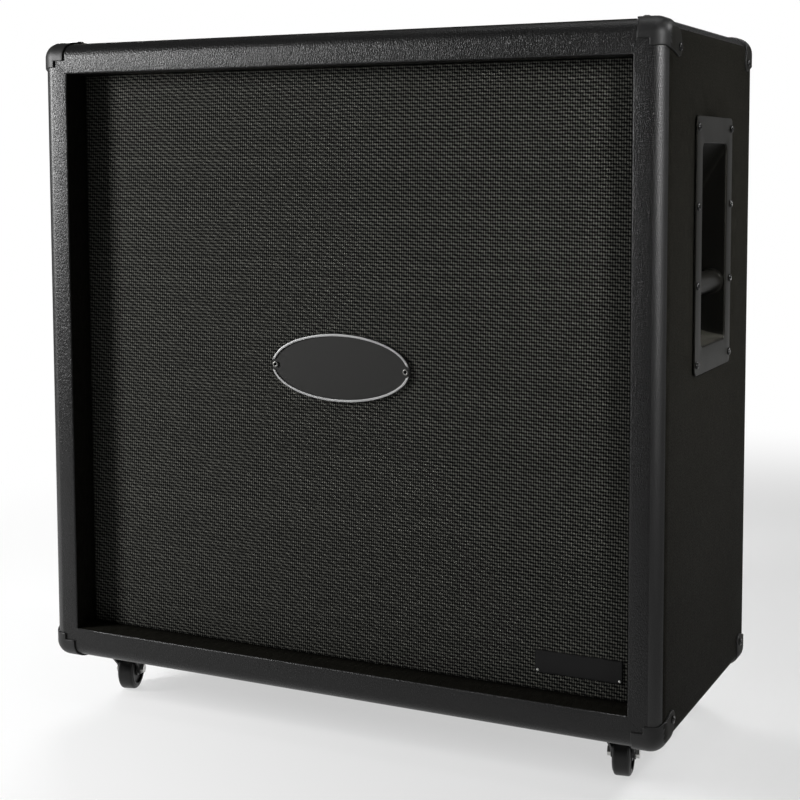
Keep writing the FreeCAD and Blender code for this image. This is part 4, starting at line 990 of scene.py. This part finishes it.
def dressBack():
    # what stands out past the plate's outer face is the jacks' metal nuts
    plateFace = nodeBox("jack_plate")[1][1]
    bevelledCopy("back_panel_cover", "back_covering", backVinyl, rear["coverEase"])
    bevelledCopy("jack_plate_pressing", "jack_plate", platePaint, rear["plateEase"])
    jacks = bevelledCopy("jack_sockets", "input_jacks", jackPlastic, rear["jackEase"])
    useAlso(jacks, (zincSteel, faceData(jacks, "center")[:, 1] * metre > plateFace - rear["slack"]))
    for node, face, size in (("back_panel_screws", backHi[1], "panelScrew"),
                             ("jack_plate_screws", plateFace, "plateScrew")):
        places = [((x, face, z), (0, 1, 0)) for x, _, z in loosePlaces(node)]
        screwSet(node[:-1] + "_heads", node, places, rear[size], blackScrew)


dressBack()
print("back dressed")


# Finishes of the nodes whose own shape shows, or that lie inside

insideFinishes = {
    plywood: ["top_panel", "bottom_panel", "left_side_panel", "right_side_panel", "back_panel",
              "baffle_board", "grille_frame"],
    softwood: ["front_frame", "back_battens", "centre_post"],
    brightScrew: ["baffle_screws", "speaker_screws"],
    corkRing: ["speaker_gaskets"], wireCover: ["speaker_wiring"]}
speakerPlaces = ("top_left", "top_right", "bottom_left", "bottom_right")
speakerFinishes = {"basket": basketSteel, "motor": motorSteel, "cone": conePaper,
                   "suspension": suspensionCloth}
for part, finish in speakerFinishes.items():
    insideFinishes[finish] = ["speaker_" + place + "_" + part for place in speakerPlaces]
for finish, nodes in insideFinishes.items():
    for node in nodes:
        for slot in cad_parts[node].material_slots:
            slot.material = finish
print("construction finished")


# Floor, light and camera

photo = {"place": (0.80757, -1.64073, 0.65509), "pan": 0.45489, "tilt": 0.0807, "roll": -0.00325,
         "focal": 1539.8, "frame": 800, "shift": (0.0, -0.14), "sensor": 36.0}


def cameraAxes():
    # right, up and ahead, from the pan and tilt of the photograph's own view
    pan, tilt, roll = photo["pan"], photo["tilt"], photo["roll"]
    ahead = np.array([-math.sin(pan) * math.cos(tilt), math.cos(pan) * math.cos(tilt), -math.sin(tilt)])
    level = np.array([math.cos(pan), math.sin(pan), 0.0])
    upward = np.cross(level, ahead)
    right = level * math.cos(roll) + upward * math.sin(roll)
    return right, upward * math.cos(roll) - level * math.sin(roll), ahead


studio = {"floor": 0.72, "floorTone": 0.02, "floorGrain": 1.5, "floorRoughness": 0.9, "floorSize": 40.0,
          "floorFade": (0.7, 1.8), "shadowSide": (0.45, 0.45, 0.0), "ambient": 0.09,
          "backdrop": (0.90, 0.93), "paper": 0.45}
lamps = {
    "key_left": {"place": (-1.40, -1.05, 0.90), "target": (-0.1, 0, 0.5), "size": (0.35, 0.7), "power": 40},
    "edge_right": {"place": (1.86, -1.52, 1.14), "target": (0.45, 0, 0.66), "size": (0.45, 0.7),
                   "power": 1.85, "spread": 24},
    "panel_right": {"place": (1.2, 2.9, 0.6), "target": (0.38, 0, 0.55), "size": (1.2, 1.2), "power": 1.2},
    "low_right": {"place": (1.45, 1.25, 0.16), "target": (0.38, 0, 0.15), "size": (0.6, 0.2),
                  "power": 0.25, "spread": 40},
    "scoop_right": {"place": (1.25, 0.35, 1.35), "target": (0.35, -0.02, 0.46), "size": (0.3, 0.3),
                    "power": 1.2, "spread": 40},
    "overhead": {"place": (0.2, 0.0, 2.8), "target": (0, 0, 0.4), "size": (1.2, 1.2), "power": 13},
    "rear_left": {"place": (-1.5, 1.7, 1.3), "target": (-0.2, 0, 0.4), "size": (0.8, 0.8), "power": 9,
                  "spread": 70}}


def layFloor():
    reach = studio["floorSize"]
    mesh = bpy.data.meshes.new("studio_floor")
    spots = [(-reach, -reach, 0), (reach, -reach, 0), (reach, reach, 0), (-reach, reach, 0)]
    mesh.from_pydata(spots, [], [(0, 1, 2, 3)])
    floor = bpy.data.objects.new("studio_floor", mesh)
    scene.collection.objects.link(floor)
    f = Finish("pale_floor")
    place = f.place()
    tone = f.noise(place, studio["floorGrain"])
    level = studio["floor"]
    f.done(colour=f.mix(tone, grey(level), grey(level + studio["floorTone"])), specular=0.0,
           roughness=studio["floorRoughness"])
    # the floor keeps the shadow near the cabinet and runs out into the white backdrop
    ends = {0: place, 1: studio["shadowSide"]}
    gap = f.node("ShaderNodeVectorMath", {"operation": "DISTANCE"}, ends, "Value")
    away = gap.smooth(*studio["floorFade"])
    sight = f.node("ShaderNodeVectorMath", {"operation": "SUBTRACT"}, {0: place, 1: photo["place"]})
    white = f.node("ShaderNodeEmission", {}, {"Color": (1, 1, 1), "Strength": 1.0})
    paper = Socket(f, f.shader.outputs[0])
    shown = (1 - (1 - away) * studio["paper"]) * backdrop(f, sight)
    blend = f.node("ShaderNodeMixShader", {}, {0: shown, 1: paper, 2: white})
    f.feed(f.tree.nodes["Material Output"].inputs["Surface"], blend)
    mesh.materials.append(f.material)


def backdrop(f, sight):
    # 1 for a ray from the camera, and behind the cabinet for a ray off a gloss or through a glass
    along = f.node("ShaderNodeVectorMath", {"operation": "NORMALIZE"}, {0: sight})
    right, upward, ahead = cameraAxes()
    shifted = photo["frame"] / photo["focal"] * np.array(photo["shift"])
    middle = ahead + shifted[0] * right + shifted[1] * upward
    middle = tuple(middle / np.linalg.norm(middle))
    facing = f.node("ShaderNodeVectorMath", {"operation": "DOT_PRODUCT"}, {0: along, 1: middle}, "Value")
    rays = f.node("ShaderNodeLightPath").link.node.outputs
    names = ("Is Camera Ray", "Is Glossy Ray", "Is Transmission Ray")
    camera, glossy, through = (Socket(f, rays[name]) for name in names)
    behind = facing.smooth(*studio["backdrop"])
    return camera.math("MAXIMUM", behind * glossy.math("MAXIMUM", through))


class Sky(Finish):
    def __init__(self, world):
        world.use_nodes = True
        self.tree = world.node_tree
        self.shader = self.tree.nodes["Background"]


def lightWorld():
    # a white backdrop stands behind the cabinet; all round it the studio is dim
    scene.world = bpy.data.worlds.new("studio_world")
    sky = Sky(scene.world)
    white = backdrop(sky, sky.node("ShaderNodeTexCoord", {}, {}, "Generated"))
    sky.feed(sky.shader.inputs["Color"], sky.mix(white, grey(studio["ambient"]), (1.0, 1.0, 1.0)))


def softbox(name, place, target, size, power, spread=180):
    lamp = bpy.data.lights.new(name, "AREA")
    lamp.shape, lamp.size, lamp.size_y = "RECTANGLE", size[0], size[1]
    lamp.energy, lamp.spread = power, math.radians(spread)
    box = bpy.data.objects.new(name, lamp)
    scene.collection.objects.link(box)
    place, target = np.array(place, float), np.array(target, float)
    back = (place - target) / np.linalg.norm(place - target)
    right = np.cross((0, 0, 1), back)
    right = right / np.linalg.norm(right)
    upward = np.cross(back, right)
    matrix = np.eye(4)
    matrix[:3, :4] = np.stack([right, upward, back, place], -1)
    box.matrix_world = Matrix(matrix.tolist())


def setCamera():
    right, upward, ahead = cameraAxes()
    data = bpy.data.cameras.new("photo_camera")
    data.sensor_width = photo["sensor"]
    data.lens = photo["focal"] * photo["sensor"] / photo["frame"]
    data.shift_x, data.shift_y = photo["shift"]
    camera = bpy.data.objects.new("photo_camera", data)
    scene.collection.objects.link(camera)
    matrix = np.eye(4)
    matrix[:3, :4] = np.stack([right, upward, -ahead, photo["place"]], -1)
    camera.matrix_world = Matrix(matrix.tolist())
    scene.camera = camera


layFloor()
lightWorld()
for name, lamp in lamps.items():
    softbox(name, **lamp)
setCamera()
print("studio set")
